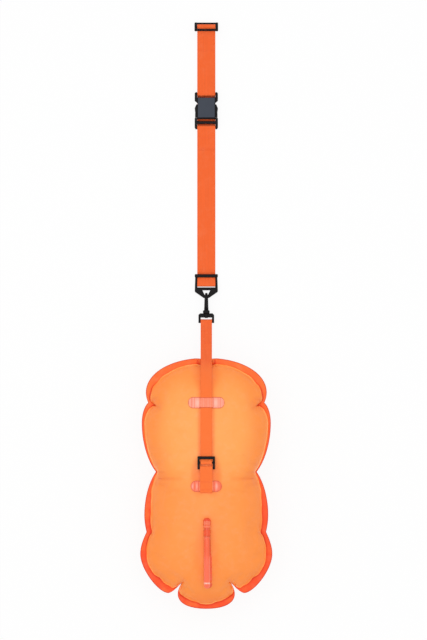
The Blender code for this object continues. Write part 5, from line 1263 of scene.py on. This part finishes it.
def bladder_panel(name, side):
    """One film panel, from a grid laid out over the outline, mirrored across the middle."""
    rows = skin_rows()
    across = len(rows[0][0])
    deselect()
    bpy.ops.mesh.primitive_grid_add(x_subdivisions=across - 1, y_subdivisions=len(rows) - 1, size=1)
    panel = named(name)
    flat = points_of(panel)
    order = np.lexsort((flat[:, 0], flat[:, 1]))
    points, seam, edge, dark = np.empty_like(flat), *(np.empty(len(flat)) for _ in range(3))
    # How dark the painted shade is where the flange folds at the weld, along the outline
    folded = flange_shares(across, 2)
    base = FLANGE_Z + side * (GAP / 2 + PANEL_THICKNESS)
    for k, (line, height, from_seam, from_edge) in enumerate(rows):
        spots = order[k * across:(k + 1) * across]
        points[spots, :2] = line
        points[spots, 2] = base + side * height
        seam[spots] = from_seam
        edge[spots] = from_edge
        dark[spots] = folded
    move_points(panel, points)
    point_attribute(panel, "from_seam", seam)
    point_attribute(panel, "from_edge", edge)
    point_attribute(panel, "weld_fold_shade", dark)
    finish_modifier(panel, "MIRROR", merge_threshold=0.00001)
    take(panel)
    bpy.ops.object.mode_set(mode="EDIT")
    bpy.ops.mesh.select_all(action="SELECT")
    if panel.data.polygons[0].normal.z * side < 0:
        bpy.ops.mesh.flip_normals()
    bpy.ops.object.mode_set(mode="OBJECT")
    return panel


def seam_of(panel):
    values = np.empty(len(panel.data.vertices), np.float32)
    panel.data.attributes["from_seam"].data.foreach_get("value", values)
    return values


def ramp(value, start, length):
    """A share from 0 at start to 1 a length on."""
    return np.clip((value - start) / length, 0, 1)


# Where the film is held: how far out it starts to come free, and over what length
WELD_HOLD = (0.001, 0.010)
LEASH_HOLD = (0.024, 0.020)
LEASH_END_HOLD = (0.030, 0.020)  # down from the middle, below the anchor patch
TUBE_HOLD = (0.014, 0.016)
BACK_HOLD = (0.020, 0.030)
KEEPER_HOLD = (0.040, 0.015)
ANCHOR_HOLD = (0.036, 0.015)
PATCH_SIDE_HOLD = (0.014, 0.015)
LEASH_GUARD = (0.016, 0.020)  # the same, for the flange's ripple beside the leash


def held_share(points, seam, side):
    """1 where the film is welded or pressed, 0 where it is free to swell."""
    free = ramp(seam, *WELD_HOLD)
    x, y = np.abs(points[:, 0]), points[:, 1]
    if side < 0:
        return 1 - free * ramp(x, *BACK_HOLD)
    free = free * np.maximum(ramp(x, *LEASH_HOLD), ramp(-y, *LEASH_END_HOLD)) * ramp(x, *TUBE_HOLD)
    for patch_y, end_hold in ((KEEPER_Y, KEEPER_HOLD), (ANCHOR_PATCH_Y, ANCHOR_HOLD)):
        beside, past = ramp(x, *end_hold), ramp(np.abs(y - patch_y), *PATCH_SIDE_HOLD)
        free = free * np.maximum(beside, past)
    return 1 - free


FILM_CLOTH = {
    "quality": 6,
    "mass": 0.25,
    "tension_stiffness": 60,
    "compression_stiffness": 60,
    "shear_stiffness": 30,
    "bending_stiffness": 2,
    "vertex_group_mass": "held",
    "pin_stiffness": 2,
    "use_pressure": True,
    "uniform_pressure_force": 1.5,
    "shrink_min": -0.012,
}
FILM_FRAMES = 16
FILM_SWELL = 0.0040  # the most that the film swells under pressure


def blow_up(panel, side):
    """Lets the film swell under pressure, held at its weld and under the straps."""
    rest = points_of(panel)
    held = held_share(rest, seam_of(panel), side)
    group = panel.vertex_groups.new(name="held")
    for i, share in enumerate(held):
        group.add([i], float(share), "REPLACE")
    cloth = panel.modifiers.new("Film", "CLOTH")
    for key, value in FILM_CLOTH.items():
        setattr(cloth.settings, key, value)
    cloth.settings.effector_weights.gravity = 0
    cloth.point_cache.frame_start = 1
    cloth.point_cache.frame_end = FILM_FRAMES
    for step in range(1, FILM_FRAMES + 1):
        bpy.context.scene.frame_set(step)
    take(panel)
    bpy.ops.object.modifier_apply(modifier=cloth.name)
    bpy.context.scene.frame_set(1)
    moved = points_of(panel) - rest
    size = np.linalg.norm(moved, axis=1)
    shrink = np.where(size > FILM_SWELL, FILM_SWELL / np.maximum(size, 1e-9), 1.0)
    move_points(panel, rest + moved * (shrink * (1 - held))[:, None])
    panel.vertex_groups.clear()


def ripple(panel):
    """A low ripple of the loose flange, the same on both panels."""
    film = bpy.context.scene.buoy_film
    points = points_of(panel)
    seam = seam_of(panel)
    loose = np.clip(-seam / FLANGE_WIDTH, 0, 1)
    turn = np.arctan2(points[:, 1] / HALF_LENGTH, points[:, 0] / HALF_WIDTH)
    guard = ramp(np.abs(points[:, 0]), *LEASH_GUARD)
    height = film.ripple * waves(turn, RIPPLE_WAVES) * loose
    points[:, 2] += height * np.where(points[:, 1] > 0, guard, 1)
    move_points(panel, points)


SENSOR_MM = 36
SOFTBOX_PLACE = (-0.15, 0.35, 2.4)
SOFTBOX_SIZE = 2.2
SOFTBOX_AIM = Vector((0.0, 0.2, 0.0))
FLOOR_SIZE = 30
FLOOR_DROP = 0.0002  # the floor lies this far under the buoy
FLOOR_TONE = (0.9, 0.9, 0.9, 1)
FLOOR_GLOW_SHARE = 0.90


class SWIMBUOY_OT_stage(bpy.types.Operator):
    """Sets the camera over the buoy, the pale floor and the soft light"""

    bl_idname = "swimbuoy.stage"
    bl_label = "Stage"

    def execute(self, context):
        studio = context.scene.buoy_studio
        deselect()
        distance = studio.view_height * studio.lens / SENSOR_MM
        centre = Vector(studio.centre)
        bpy.ops.object.camera_add(location=centre + UP * distance, rotation=(0, 0, 0))
        camera = context.active_object
        camera.data.lens = studio.lens
        camera.data.sensor_width = SENSOR_MM
        camera.data.clip_end = 100
        context.scene.camera = camera
        bpy.ops.object.light_add(type="AREA", location=SOFTBOX_PLACE)
        softbox = context.active_object
        softbox.data.shape = "SQUARE"
        softbox.data.size = SOFTBOX_SIZE
        softbox.data.energy = studio.softbox
        aim = SOFTBOX_AIM - softbox.location
        softbox.rotation_euler = aim.to_track_quat("-Z", "Y").to_euler()
        self.make_sky(studio)
        deselect()
        bpy.ops.mesh.primitive_plane_add(size=FLOOR_SIZE, location=(0, 0, -FLOOR_DROP))
        floor = named("floor")
        paint(floor, self.floor_material())
        context.scene.view_settings.view_transform = "Standard"
        return {"FINISHED"}

    def make_sky(self, studio):
        world = bpy.data.worlds.new("studio")
        bpy.context.scene.world = world
        world.use_nodes = True
        nodes = Nodes(world.node_tree)
        world.node_tree.nodes.clear()
        rays = nodes.add("ShaderNodeLightPath").outputs
        seen = nodes.math("MAXIMUM", rays["Is Camera Ray"], rays["Is Transmission Ray"])
        strength = nodes.math("MULTIPLY_ADD", seen, 1.0 - studio.sky, studio.sky)
        sky = nodes.add("ShaderNodeBackground", {"Color": (1, 1, 1, 1), "Strength": strength})
        nodes.add("ShaderNodeOutputWorld", {"Surface": sky.outputs[0]})

    def floor_material(self):
        material = bpy.data.materials.new("floor")
        material.use_nodes = True
        nodes = Nodes(material.node_tree)
        material.node_tree.nodes.clear()
        rays = nodes.add("ShaderNodeLightPath").outputs
        seen = nodes.math("MAXIMUM", rays["Is Camera Ray"], rays["Is Glossy Ray"])
        seen = nodes.math("MAXIMUM", seen, rays["Is Transmission Ray"])
        paper = nodes.add("ShaderNodeBsdfDiffuse", {"Color": FLOOR_TONE})
        glow = nodes.add("ShaderNodeEmission", {"Color": (1, 1, 1, 1), "Strength": 1.0})
        share = nodes.part(seen, FLOOR_GLOW_SHARE)
        mixed = nodes.add("ShaderNodeMixShader", {0: share, 1: paper.outputs[0], 2: glow.outputs[0]})
        nodes.add("ShaderNodeOutputMaterial", {"Surface": mixed.outputs[0]})
        return material


class SWIMBUOY_OT_bladder(bpy.types.Operator):
    """Makes the two welded film panels, blown up tight"""

    bl_idname = "swimbuoy.bladder"
    bl_label = "Bladder"

    def execute(self, context):
        film = context.scene.buoy_film
        panels = []
        for name, side in (("bladder_skin", 1), ("bladder_back", -1)):
            panel = bladder_panel(name, side)
            blow_up(panel, side)
            points, folds = creased(points_of(panel), side)
            # How deep each crease lies, for the painted shade in it
            point_attribute(panel, "fold_shade", folds)
            points[:, 2] = np.clip(points[:, 2], 0.0, None)
            move_points(panel, points)
            ripple(panel)
            finish_modifier(panel, "SOLIDIFY", thickness=film.wall, offset=-1.0)
            panels.append(panel)
        take(*panels)
        bpy.ops.object.join()
        skin = bpy.context.active_object
        if skin.name != "bladder_skin":
            raise RuntimeError("the bladder's panels weren't joined")
        shade(skin, 50)
        paint(skin, bladder_film())
        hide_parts("bladder_front_panel", "bladder_back_panel")
        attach(skin, "buoy")
        return {"FINISHED"}


def leash_over_skin(tree):
    """The leash from its tucked tail round the lock, over the dome and past the top flange."""
    top = HALF_LENGTH * LOBE_SHARES[-1][1] - GAP
    ys = np.linspace(LEASH_TAIL_END_Y + 2 * LEASH_TAIL_RAMP, top, 90)
    flange_end = (HALF_LENGTH + GAP, FLANGE_Z + GAP / 2 + PANEL_THICKNESS)
    line = taut(ridge(tree, ys, 0, LEASH_WIDTH / 2) + [flange_end])
    over = offset_path(line, STRAP_LIFT)
    last = (over[-1] - over[-2]) / np.linalg.norm(over[-1] - over[-2])
    low = CROWN_Z + STRAP_LIFT
    high = low + LAYER_STEP
    wrap = route(
        [
            point_stop(LEASH_TAIL_END_Y, low),
            (*LOCK_MIDDLE, LOCK_BAR + STRAP_LIFT, -1),
            point_stop(LOCK_SLOT_Y, high),
            point_stop(LEASH_TAIL_END_Y + GAP, high),
            point_stop(LEASH_TAIL_END_Y + LEASH_TAIL_RAMP, low),
        ],
        cut=0.003,
    )
    return wrap + over + [over[-1] + last * LEASH_OVERHANG]


def leash_to_eye():
    """From the bend over the flange to the eye, round its bar and back, doubled."""
    bar, start = np.array(EYE_BAR), np.array(LEASH_BEND)
    reach = bar - start
    first, second = (start + reach * np.array(share) for share in LEASH_HANDLE_SHARES)
    line = [start] + bezier(start, first, second, bar, 32)
    lengths = lengths_along(line)
    stop = lengths[-1] - EYE_WRAP_RADIUS * 3
    upper = [point for point, at in zip(line, lengths) if at < stop]
    doubled = [point for point, at in zip(line, lengths) if lengths[-1] - LEASH_DOUBLED < at < stop]
    lower = offset_path(doubled, -LAYER_STEP)
    stops = [point_stop(*upper[-1]), (*EYE_BAR, EYE_WRAP_RADIUS, -1), point_stop(*lower[-1])]
    return upper[:-1] + route(stops) + list(reversed(lower[:-1])), upper


class SWIMBUOY_OT_leash(bpy.types.Operator):
    """Lays the leash over the bladder, through the ladder lock and down to the swivel eye"""

    bl_idname = "swimbuoy.leash"
    bl_label = "Leash"

    def execute(self, context):
        cloth = context.scene.buoy_webbing
        tree = tree_of(bpy.data.objects["bladder_skin"])
        over = leash_over_skin(tree)
        free, upper = leash_to_eye()
        strap = webbing_run("leash", over + free, LEASH_WIDTH, longest=0.004)
        paint(strap, webbing("Leash Webbing", cloth.leash, cloth.leash_lit_over_film))
        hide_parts("leash_on_buoy", "leash_free_end")
        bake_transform(strap)
        lengths = lengths_along(without_repeats(upper))
        whole = lengths[-1]
        first, last = LEASH_STITCH_SPAN
        rows = [(x, whole - first, whole - last, 0) for x in LEASH_STITCH_XS]
        left, right = LEASH_STITCH_XS[0], LEASH_STITCH_XS[-1]
        rows += [(left, whole - at, 0, right - left) for at in LEASH_STITCH_ROWS]
        stitch_rows("leash_stitching", upper, rows, "leash_end")
        return {"FINISHED"}


class SWIMBUOY_OT_anchor_strap(bpy.types.Operator):
    """Sews the short strap from the ladder lock round the anchor patch"""

    bl_idname = "swimbuoy.anchor_strap"
    bl_label = "Anchor strap"

    def execute(self, context):
        cloth = context.scene.buoy_webbing
        length = ANCHOR_PATCH_SIZE[1]
        low = CROWN_Z + STRAP_LIFT
        front = low + LAYER_STEP + ANCHOR_LOOP_SLACK + GAP
        end = ANCHOR_PATCH_Y - length / 2
        path = route(
            [
                point_stop(ANCHOR_PATCH_Y, low),
                (*LOCK_BOTTOM, LOCK_BAR + STRAP_LIFT, 1),
                point_stop(ANCHOR_PATCH_Y + length / 2 + ANCHOR_SLOPE, front),
                (end, (low + front) / 2, (front - low) / 2, 1),
                point_stop(ANCHOR_PATCH_Y, low),
            ],
            cut=0.002,
        )
        strap = webbing_run("anchor_loop", path, ANCHOR_WIDTH, closed=True, longest=0.005)
        paint(strap, webbing("Leash Webbing", cloth.leash, cloth.leash_lit_over_film))
        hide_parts("anchor_strap")
        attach(strap, "buoy")
        top = [np.array([y, front]) for y in (end, ANCHOR_STITCH_END_Y)]
        rows = [(-ANCHOR_STITCH_X, at, 0, 2 * ANCHOR_STITCH_X) for at in ANCHOR_STITCH_ROWS]
        stitch_rows("anchor_stitching", top, rows, "buoy")
        return {"FINISHED"}


def pill_patch(name, tree, y, size, end_round, strap_half, strap_top, material, node, welds, shines, coral):
    """A film patch with rounded ends, pressed on the skin and tented over a strap."""
    length, width = size
    half = length / 2
    columns, rows = 120, 16
    deselect()
    bpy.ops.mesh.primitive_grid_add(x_subdivisions=columns, y_subdivisions=rows, size=2)
    patch = named(name)
    flat = points_of(patch)
    points, over, rim = np.empty_like(flat), np.empty(len(flat)), np.empty(len(flat))
    for i, (u, v, _) in enumerate(flat):
        x = half * u
        into = np.clip((abs(x) - half + end_round) / end_round, 0, 1)
        reach = max(PATCH_TIP_SHARE, math.sqrt(max(0.0, 1 - into * into))) * width / 2
        share = float(ramp(abs(x), strap_half, PATCH_TENT))
        share = share * share * (3 - 2 * share)
        squeeze = 1 - PATCH_SQUEEZE_SHARES[0 if v > 0 else 1] * (1 - share)
        at = y + v * reach * squeeze
        ground = height_under(tree, x, at) + PATCH_LIFT
        raised = strap_top(at) + PATCH_LIFT
        points[i] = (x, at, max(ground, raised + (ground - raised) * share))
        over[i] = 1 - share
        rim[i] = min(reach * (1 - abs(v)), half - abs(x))
    move_points(patch, points)
    lines = [np.exp(-(((points[:, 0] - at) / PATCH_WELD_SPREAD) ** 2)) for at in welds]
    point_attribute(patch, "weld_line", np.max(lines, axis=0))
    streaks = [np.exp(-(((points[:, 0] - at) / spread) ** 2)) for at, spread in shines]
    strength, fall = SHINE_SHARES
    fade = np.clip(strength - fall * np.abs(flat[:, 1]), 0, 1)
    point_attribute(patch, "shine", np.max(streaks, axis=0) * fade)
    point_attribute(patch, "coral", np.full(len(points), coral))
    point_attribute(patch, "over_strap", over)
    point_attribute(patch, "from_rim", rim)
    finish_modifier(patch, "SOLIDIFY", thickness=PATCH_THICKNESS, offset=1.0)
    shade(patch, 50)
    paint(patch, material)
    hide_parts(node)
    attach(patch, "buoy")
    return patch


class SWIMBUOY_OT_patches(bpy.types.Operator):
    """Welds the keeper and anchor patches over their straps"""

    bl_idname = "swimbuoy.patches"
    bl_label = "Patches"

    def execute(self, context):
        tree = tree_of(bpy.data.objects["bladder_skin"])
        strap = tree_of(bpy.data.objects["leash"])

        def over_leash(y):
            return height_under(strap, 0, y)

        def over_anchor(y):
            return CROWN_Z + GAP + WEBBING_THICKNESS

        material = patch_film()
        pill_patch(
            "keeper_film", tree, KEEPER_Y, KEEPER_SIZE, KEEPER_END_ROUND, LEASH_WIDTH / 2,
            over_leash, material, "keeper_patch", KEEPER_WELDS, KEEPER_SHINES, 0.0,
        )
        pill_patch(
            "anchor_film", tree, ANCHOR_PATCH_Y, ANCHOR_PATCH_SIZE, ANCHOR_END_ROUND, ANCHOR_WIDTH / 2,
            over_anchor, material, "anchor_patch", ANCHOR_WELDS, ANCHOR_SHINES, 1.0,
        )
        return {"FINISHED"}


def ring_along(height, z):
    return (RING_PIVOT[1] + height * math.cos(RING_TILT) - z) / math.sin(RING_TILT)


def ring_point(along, height):
    cos, sin = math.cos(RING_TILT), math.sin(RING_TILT)
    return RING_PIVOT[0] + along * cos + height * sin, RING_PIVOT[1] - along * sin + height * cos


class SWIMBUOY_OT_belt(bpy.types.Operator):
    """Threads the belt through the ring, the slider and the buckle, with its sewn ends"""

    bl_idname = "swimbuoy.belt"
    bl_label = "Belt"

    def execute(self, context):
        cloth = context.scene.buoy_webbing
        material = webbing("Belt Webbing", cloth.belt)
        self.long_strap(material)
        self.front_strand(material)
        self.end_loop(material)
        return {"FINISHED"}

    def long_strap(self, material):
        under = -STRAND_DROP
        back = under - LAYER_STEP
        inner = SLIDER_ROD + STRAP_LIFT
        tail, middle, front = (BELT_FLOOR + LAYER_STEP * i for i in (1, 2, 3))
        rise_y = FEMALE_BAR[0] + FEMALE_SLOPE
        path = route(
            [
                point_stop(*ring_point(RING_TOP_BAR[1] + RING_OVERHANG, under)),
                point_stop(*ring_point(RING_TOP_BAR[0], under)),
                (*ring_point(RING_MIDDLE, 0), RING_BAR + STRAP_LIFT, 1),
                point_stop(*ring_point(RING_TOP_BAR[0], back)),
                point_stop(*ring_point(ring_along(back, BELT_FLOOR), back)),
                point_stop(SLIDER_BAR[0] - SLIDER_SLOPE, BELT_FLOOR),
                (*SLIDER_BAR, inner + LAYER_STEP, 1),
                point_stop(SLIDER_MOUTH_Y, front),
                point_stop(rise_y, front),
                (*FEMALE_BAR, BUCKLE_ROD + STRAP_LIFT, 1),
                point_stop(rise_y, middle),
                point_stop(SLIDER_MOUTH_Y, middle),
                (*SLIDER_BAR, inner, -1),
                point_stop(SLIDER_MOUTH_Y + LAYER_STEP, tail),
                point_stop(BELT_SEWN_TAIL_Y, tail),
            ],
            cut=0.004,
        )
        strap = webbing_run("belt", path, BELT_WIDTH, columns=10)
        paint(strap, material)
        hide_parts("belt_webbing")
        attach(strap, "belt")
        top = [np.array([y, front]) for y in SLIDER_STITCH_SPAN_Y]
        rows = [(-BELT_STITCH_X, at, 0, 2 * BELT_STITCH_X) for at in SLIDER_STITCH_ROWS]
        stitch_rows("slider_stitching", top, rows, "belt")

    def front_strand(self, material):
        start = np.array(ring_point(RING_TOP_BAR[1] + RING_OVERHANG + GAP, -STRAND_DROP))
        flat, raised = BELT_FLOOR + LAYER_STEP, BELT_FLOOR + LAYER_STEP * 2
        path = route(
            [
                point_stop(*start),
                point_stop(start[0] + RING_SLOPE, max(flat, start[1])),
                point_stop(BELT_JOIN_Y - JOIN_SLOPE, flat),
                point_stop(BELT_JOIN_Y - JOIN_GAP - LAYER_STEP, raised),
                point_stop(BELT_JOIN_Y - JOIN_GAP, raised),
            ],
            cut=0.003,
        )
        strap = webbing_run("belt_front_run", path, BELT_WIDTH, columns=10)
        paint(strap, material)
        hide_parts("belt_front_strand")
        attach(strap, "belt")
        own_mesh(strap)

    def end_loop(self, material):
        raised, low = BELT_FLOOR + LAYER_STEP * 2, BELT_FLOOR + LAYER_STEP
        ramp_y = MALE_BAR[0] - MALE_SLOPE
        path = route(
            [
                point_stop(BELT_JOIN_Y, raised), point_stop(ramp_y, raised + GAP),
                (*MALE_BAR, BUCKLE_ROD + STRAP_LIFT, -1), point_stop(ramp_y, low + GAP),
                point_stop(BELT_TAB_END_Y, low),
            ],
            cut=0.003,
        )
        loop = webbing_run("belt_end_loop", path, BELT_WIDTH, columns=10, longest=0.006)
        paint(loop, material)
        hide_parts("buckle_end_loop")
        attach(loop, "male_half")
        top = [np.array([y, raised + GAP * 0.5]) for y in (BELT_JOIN_Y, ramp_y)]
        rows = [(-BELT_STITCH_X, at, 0, 2 * BELT_STITCH_X) for at in BUCKLE_STITCH_ROWS]
        rows += [(x, *BUCKLE_STITCH_ROWS[1:3], 0) for x in (-BELT_STITCH_X, BELT_STITCH_X)]
        stitch_rows("buckle_stitching", top, rows, "male_half")


class SWIMBUOY_OT_tube(bpy.types.Operator):
    """Lays the inflation tube over the bladder from its base to the valve"""

    bl_idname = "swimbuoy.tube"
    bl_label = "Inflation tube"

    def execute(self, context):
        settings = context.scene.buoy_tube
        tree = tree_of(bpy.data.objects["bladder_skin"])
        ys = np.linspace(TUBE_LIFT_OFF_Y, TUBE_STRAIGHT_Y, 40)
        over = offset_path(taut(ridge(tree, ys, TUBE_X, TUBE_RADIUS / 2)), GAP + TUBE_RADIUS)
        ends = [(TUBE_STRAIGHT_Y + TUBE_RADIUS / 2, TUBE_END[1]), TUBE_END]
        line = taut([TUBE_PIVOT] + [tuple(point) for point in over] + ends)
        path = resampled([np.array(point) for point in line], 0.004)
        back = (path[0] - path[1]) / np.linalg.norm(path[0] - path[1])
        cap = [math.radians(angle) for angle in TUBE_CAP_ANGLES]
        points = [path[0] + back * TUBE_RADIUS * math.sin(angle) for angle in cap] + path
        radii = [math.cos(angle) for angle in cap] + [1.0] * len(path)
        curve = bpy.data.curves.new("tube", "CURVE")
        curve.dimensions = "3D"
        curve.bevel_depth = TUBE_RADIUS
        curve.bevel_resolution = 8
        curve.use_fill_caps = True
        spline = curve.splines.new("POLY")
        spline.points.add(len(points) - 1)
        for target, (y, z), radius in zip(spline.points, points, radii):
            target.co = (TUBE_X, y, z, 1)
            target.radius = radius
        piece = bpy.data.objects.new("tube", curve)
        context.scene.collection.objects.link(piece)
        take(piece)
        bpy.ops.object.convert(target="MESH")
        piece = context.active_object
        face_out(piece)
        shade(piece, 50)
        paint(piece, clear_coral("Tube Film", settings.tube, tube_marks))
        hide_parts("inflation_tube")
        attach(piece, "tube")
        self.side_weld(tree, np.array([tuple(point) for point in path]))
        self.mouthpiece()
        self.base(tree, settings)
        return {"FINISHED"}

    def side_weld(self, tree, path):
        """The welded edge along the tube's right side."""
        deselect()
        bpy.ops.mesh.primitive_grid_add(x_subdivisions=4, y_subdivisions=60, size=1)
        weld = named("tube_weld")
        points = points_of(weld)
        ys, reach = np.array(SIDE_WELD).T
        out_share, down_share = SIDE_WELD_ROOT_SHARES
        order = np.argsort(path[:, 0])
        for point in points:
            share = point[0] + 0.5
            y = ys.max() + (ys.min() - ys.max()) * (0.5 - point[1])
            inner = TUBE_RADIUS * out_share
            outer = np.interp(-y, -ys, reach)
            x = TUBE_X + inner + (outer - inner) * share
            middle = float(np.interp(y, path[order, 0], path[order, 1]))
            ground = height_under(tree, TUBE_X + outer, y) + SIDE_WELD_LIFT
            side = middle - TUBE_RADIUS * down_share
            point[:] = (x, y, side + (ground - side) * share)
        move_points(weld, points)
        finish_modifier(weld, "SOLIDIFY", thickness=SIDE_WELD_THICKNESS, offset=0.0)
        face_out(weld)
        shade(weld, 50)
        paint(weld, clear_coral("Tube Weld", bpy.context.scene.buoy_tube.weld))
        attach(weld, "tube")

    def mouthpiece(self):
        """The soft clear cap with its rings and its blow hole."""
        piece = turned("mouthpiece_cap", MOUTHPIECE, 48)
        points = points_of(piece)
        angle = np.arctan2(points[:, 2], points[:, 0])
        low, high, ribs, height_share = MOUTHPIECE_RIBS
        ribbed = (points[:, 1] > low) & (points[:, 1] < high)
        points[:, [0, 2]] *= np.where(ribbed, 1 + height_share * np.cos(ribs * angle), 1.0)[:, None]
        move_points(piece, points + np.array([TUBE_X, *TUBE_END]))
        face_out(piece)
        shade(piece, 40)
        paint(piece, mouthpiece_film())
        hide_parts("mouthpiece")
        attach(piece, "blow_valve")

    def base(self, tree, settings):
        """The disc welded to the bladder under the tube's lower end."""
        x, y, radius = TUBE_BASE
        disc = turned("tube_base", [(up, radius * wide) for up, wide in TUBE_BASE_OUTLINE], 40)
        points = points_of(disc)
        for point in points:
            across, up, along = point
            ground = height_under(tree, x + across, y + along)
            point[:] = (x + across, y + along, ground + GAP + up)
        move_points(disc, points)
        face_out(disc)
        shade(disc, 50)
        paint(disc, clear_coral("Tube Base", settings.valve))
        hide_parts("valve_base")
        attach(disc, "buoy")


def turned(name, outline, segments):
    """A turned piece along +Y from a ball, its rings moved to the outline's distances and radii."""
    deselect()
    bpy.ops.mesh.primitive_uv_sphere_add(segments=segments, ring_count=len(outline) - 1, radius=1)
    piece = named(name)
    points = points_of(piece)
    ring = np.rint(np.arccos(np.clip(points[:, 2], -1, 1)) / math.pi * (len(outline) - 1)).astype(int)
    along, radius = np.array(outline)[ring].T
    angle = np.arctan2(points[:, 1], points[:, 0])
    move_points(piece, np.column_stack([radius * np.cos(angle), along, radius * np.sin(angle)]))
    return piece


def copy_of(node, name):
    """A free piece with the shape of one of the frame's solids."""
    piece = frame["nodes"][node].copy()
    piece.data = frame["nodes"][node].data.copy()
    piece.parent = None
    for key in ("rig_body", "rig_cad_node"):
        if key in piece:
            del piece[key]
    bpy.context.scene.collection.objects.link(piece)
    piece.name = name
    piece.data.name = name
    face_out(piece)
    return piece


def rounded_copy(node, name, voxel, rounds, swell, material, slot, body, degrees=60):
    """A moulded piece from a solid of the frame, its edges and joins rounded and then swelled back out."""
    piece = copy_of(node, name)
    finish_modifier(piece, "REMESH", mode="VOXEL", voxel_size=voxel, use_smooth_shade=True)
    finish_modifier(piece, "SMOOTH", factor=0.5, iterations=rounds)
    finish_modifier(piece, "DISPLACE", strength=swell, mid_level=0.0)
    shade(piece, degrees)
    paint(piece, material)
    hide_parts(node)
    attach(piece, body)
    return piece


class SWIMBUOY_OT_fittings(bpy.types.Operator):
    """Rounds the moulded fittings and finishes them, the valve, the springs and the pins"""

    bl_idname = "swimbuoy.fittings"
    bl_label = "Fittings"

    def execute(self, context):
        plastic, tube = context.scene.buoy_plastic, context.scene.buoy_tube
        black = moulded("Black Moulding", plastic.black, roughness=0.38)
        housing = buckle_housing(plastic.black, plastic.face_reflection)
        coral = clear_coral("Valve Moulding", tube.valve)
        rubber = moulded("Seal Rubber", tube.rubber, roughness=0.7, wear=0.2)
        metal = steel()
        # Node, name, voxel, smoothing rounds, swell, material, slot and body
        rounded = (
            ("ladder_lock", "lock", 0.00040, 12, 0.00012, black, "black_plastic", "buoy"),
            ("swivel_eye", "eye", 0.00040, 8, 0.00052, black, "black_plastic", "eye"),
            ("hook_body", "hook", 0.00034, 6, 0.00040, black, "black_plastic", "hook"),
            ("hook_gate", "gate", 0.00030, 4, 0.00020, black, "black_plastic", "gate"),
            ("triangle_ring", "ring", 0.00040, 9, 0.00072, black, "black_plastic", "ring"),
            ("slider", "belt_slider", 0.00040, 9, 0.00048, black, "black_plastic", "belt"),
            ("buckle_male", "buckle_plug", 0.00040, 4, 0.00024, black, "black_plastic", "male_half"),
            ("prong_left", "prong_left_side", 0.00034, 4, 0.00024, black, "black_plastic", "left_prong"),
            ("prong_right", "prong_right_side", 0.00034, 4, 0.00024, black, "black_plastic", "right_prong"),
            ("buckle_female", "buckle_housing", 0.00044, 3, 0.00016, housing, "buckle_grey", "belt"),
            ("lock_collar", "locking_collar", 0.00030, 2, 0.00010, coral, "valve_plastic", "collar"),
        )
        for node, name, *rest in rounded:
            rounded_copy(node, name, *rest)
        for node, name in (("gate_spring", "gate_leaf_spring"), ("valve_spring", "mouthpiece_spring")):
            spring = copy_of(node, name)
            shade(spring, 60)
            paint(spring, metal)
            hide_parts(node)
            if node == "valve_spring":
                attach(spring, "tube")
                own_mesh(spring)
            else:
                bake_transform(spring)
        finishes = {
            black: ("swivel_stem",),
            coral: ("valve_body", "valve_stem"),
            metal: ("gate_pin",),
            rubber: ("valve_seal",),
        }
        for material, names in finishes.items():
            for name in names:
                paint(frame["nodes"][name], material)
        return {"FINISHED"}


STEPS = (
    "stage", "bladder", "leash", "anchor_strap", "patches", "belt", "tube", "fittings",
)


class SWIMBUOY_PT_panel(bpy.types.Panel):
    """Steps that dress the swim buoy"""

    bl_idname = "SWIMBUOY_PT_panel"
    bl_label = "Swim Buoy"
    bl_space_type = "VIEW_3D"
    bl_region_type = "UI"
    bl_category = "Swim Buoy"

    def draw(self, context):
        for step in STEPS:
            self.layout.operator(f"swimbuoy.{step}")
        for group in ("buoy_studio", "buoy_film", "buoy_webbing", "buoy_plastic", "buoy_tube"):
            box = self.layout.box()
            settings = getattr(context.scene, group)
            for name in settings.bl_rna.properties.keys():
                if name not in ("rna_type", "name"):
                    box.prop(settings, name)


SETTINGS = {
    "buoy_studio": StudioSettings,
    "buoy_film": FilmSettings,
    "buoy_webbing": WebbingSettings,
    "buoy_plastic": PlasticSettings,
    "buoy_tube": TubeSettings,
}
CLASSES = (
    *SETTINGS.values(),
    SWIMBUOY_OT_stage,
    SWIMBUOY_OT_bladder,
    SWIMBUOY_OT_leash,
    SWIMBUOY_OT_anchor_strap,
    SWIMBUOY_OT_patches,
    SWIMBUOY_OT_belt,
    SWIMBUOY_OT_tube,
    SWIMBUOY_OT_fittings,
    SWIMBUOY_PT_panel,
)


def register():
    for cls in CLASSES:
        bpy.utils.register_class(cls)
    for name, settings in SETTINGS.items():
        setattr(bpy.types.Scene, name, bpy.props.PointerProperty(type=settings))


def unregister():
    for name in SETTINGS:
        delattr(bpy.types.Scene, name)
    for cls in reversed(CLASSES):
        bpy.utils.unregister_class(cls)


def main():
    register()
    for step in STEPS:
        getattr(bpy.ops.swimbuoy, step)()
    deselect()


if __name__ == "__main__":
    main()
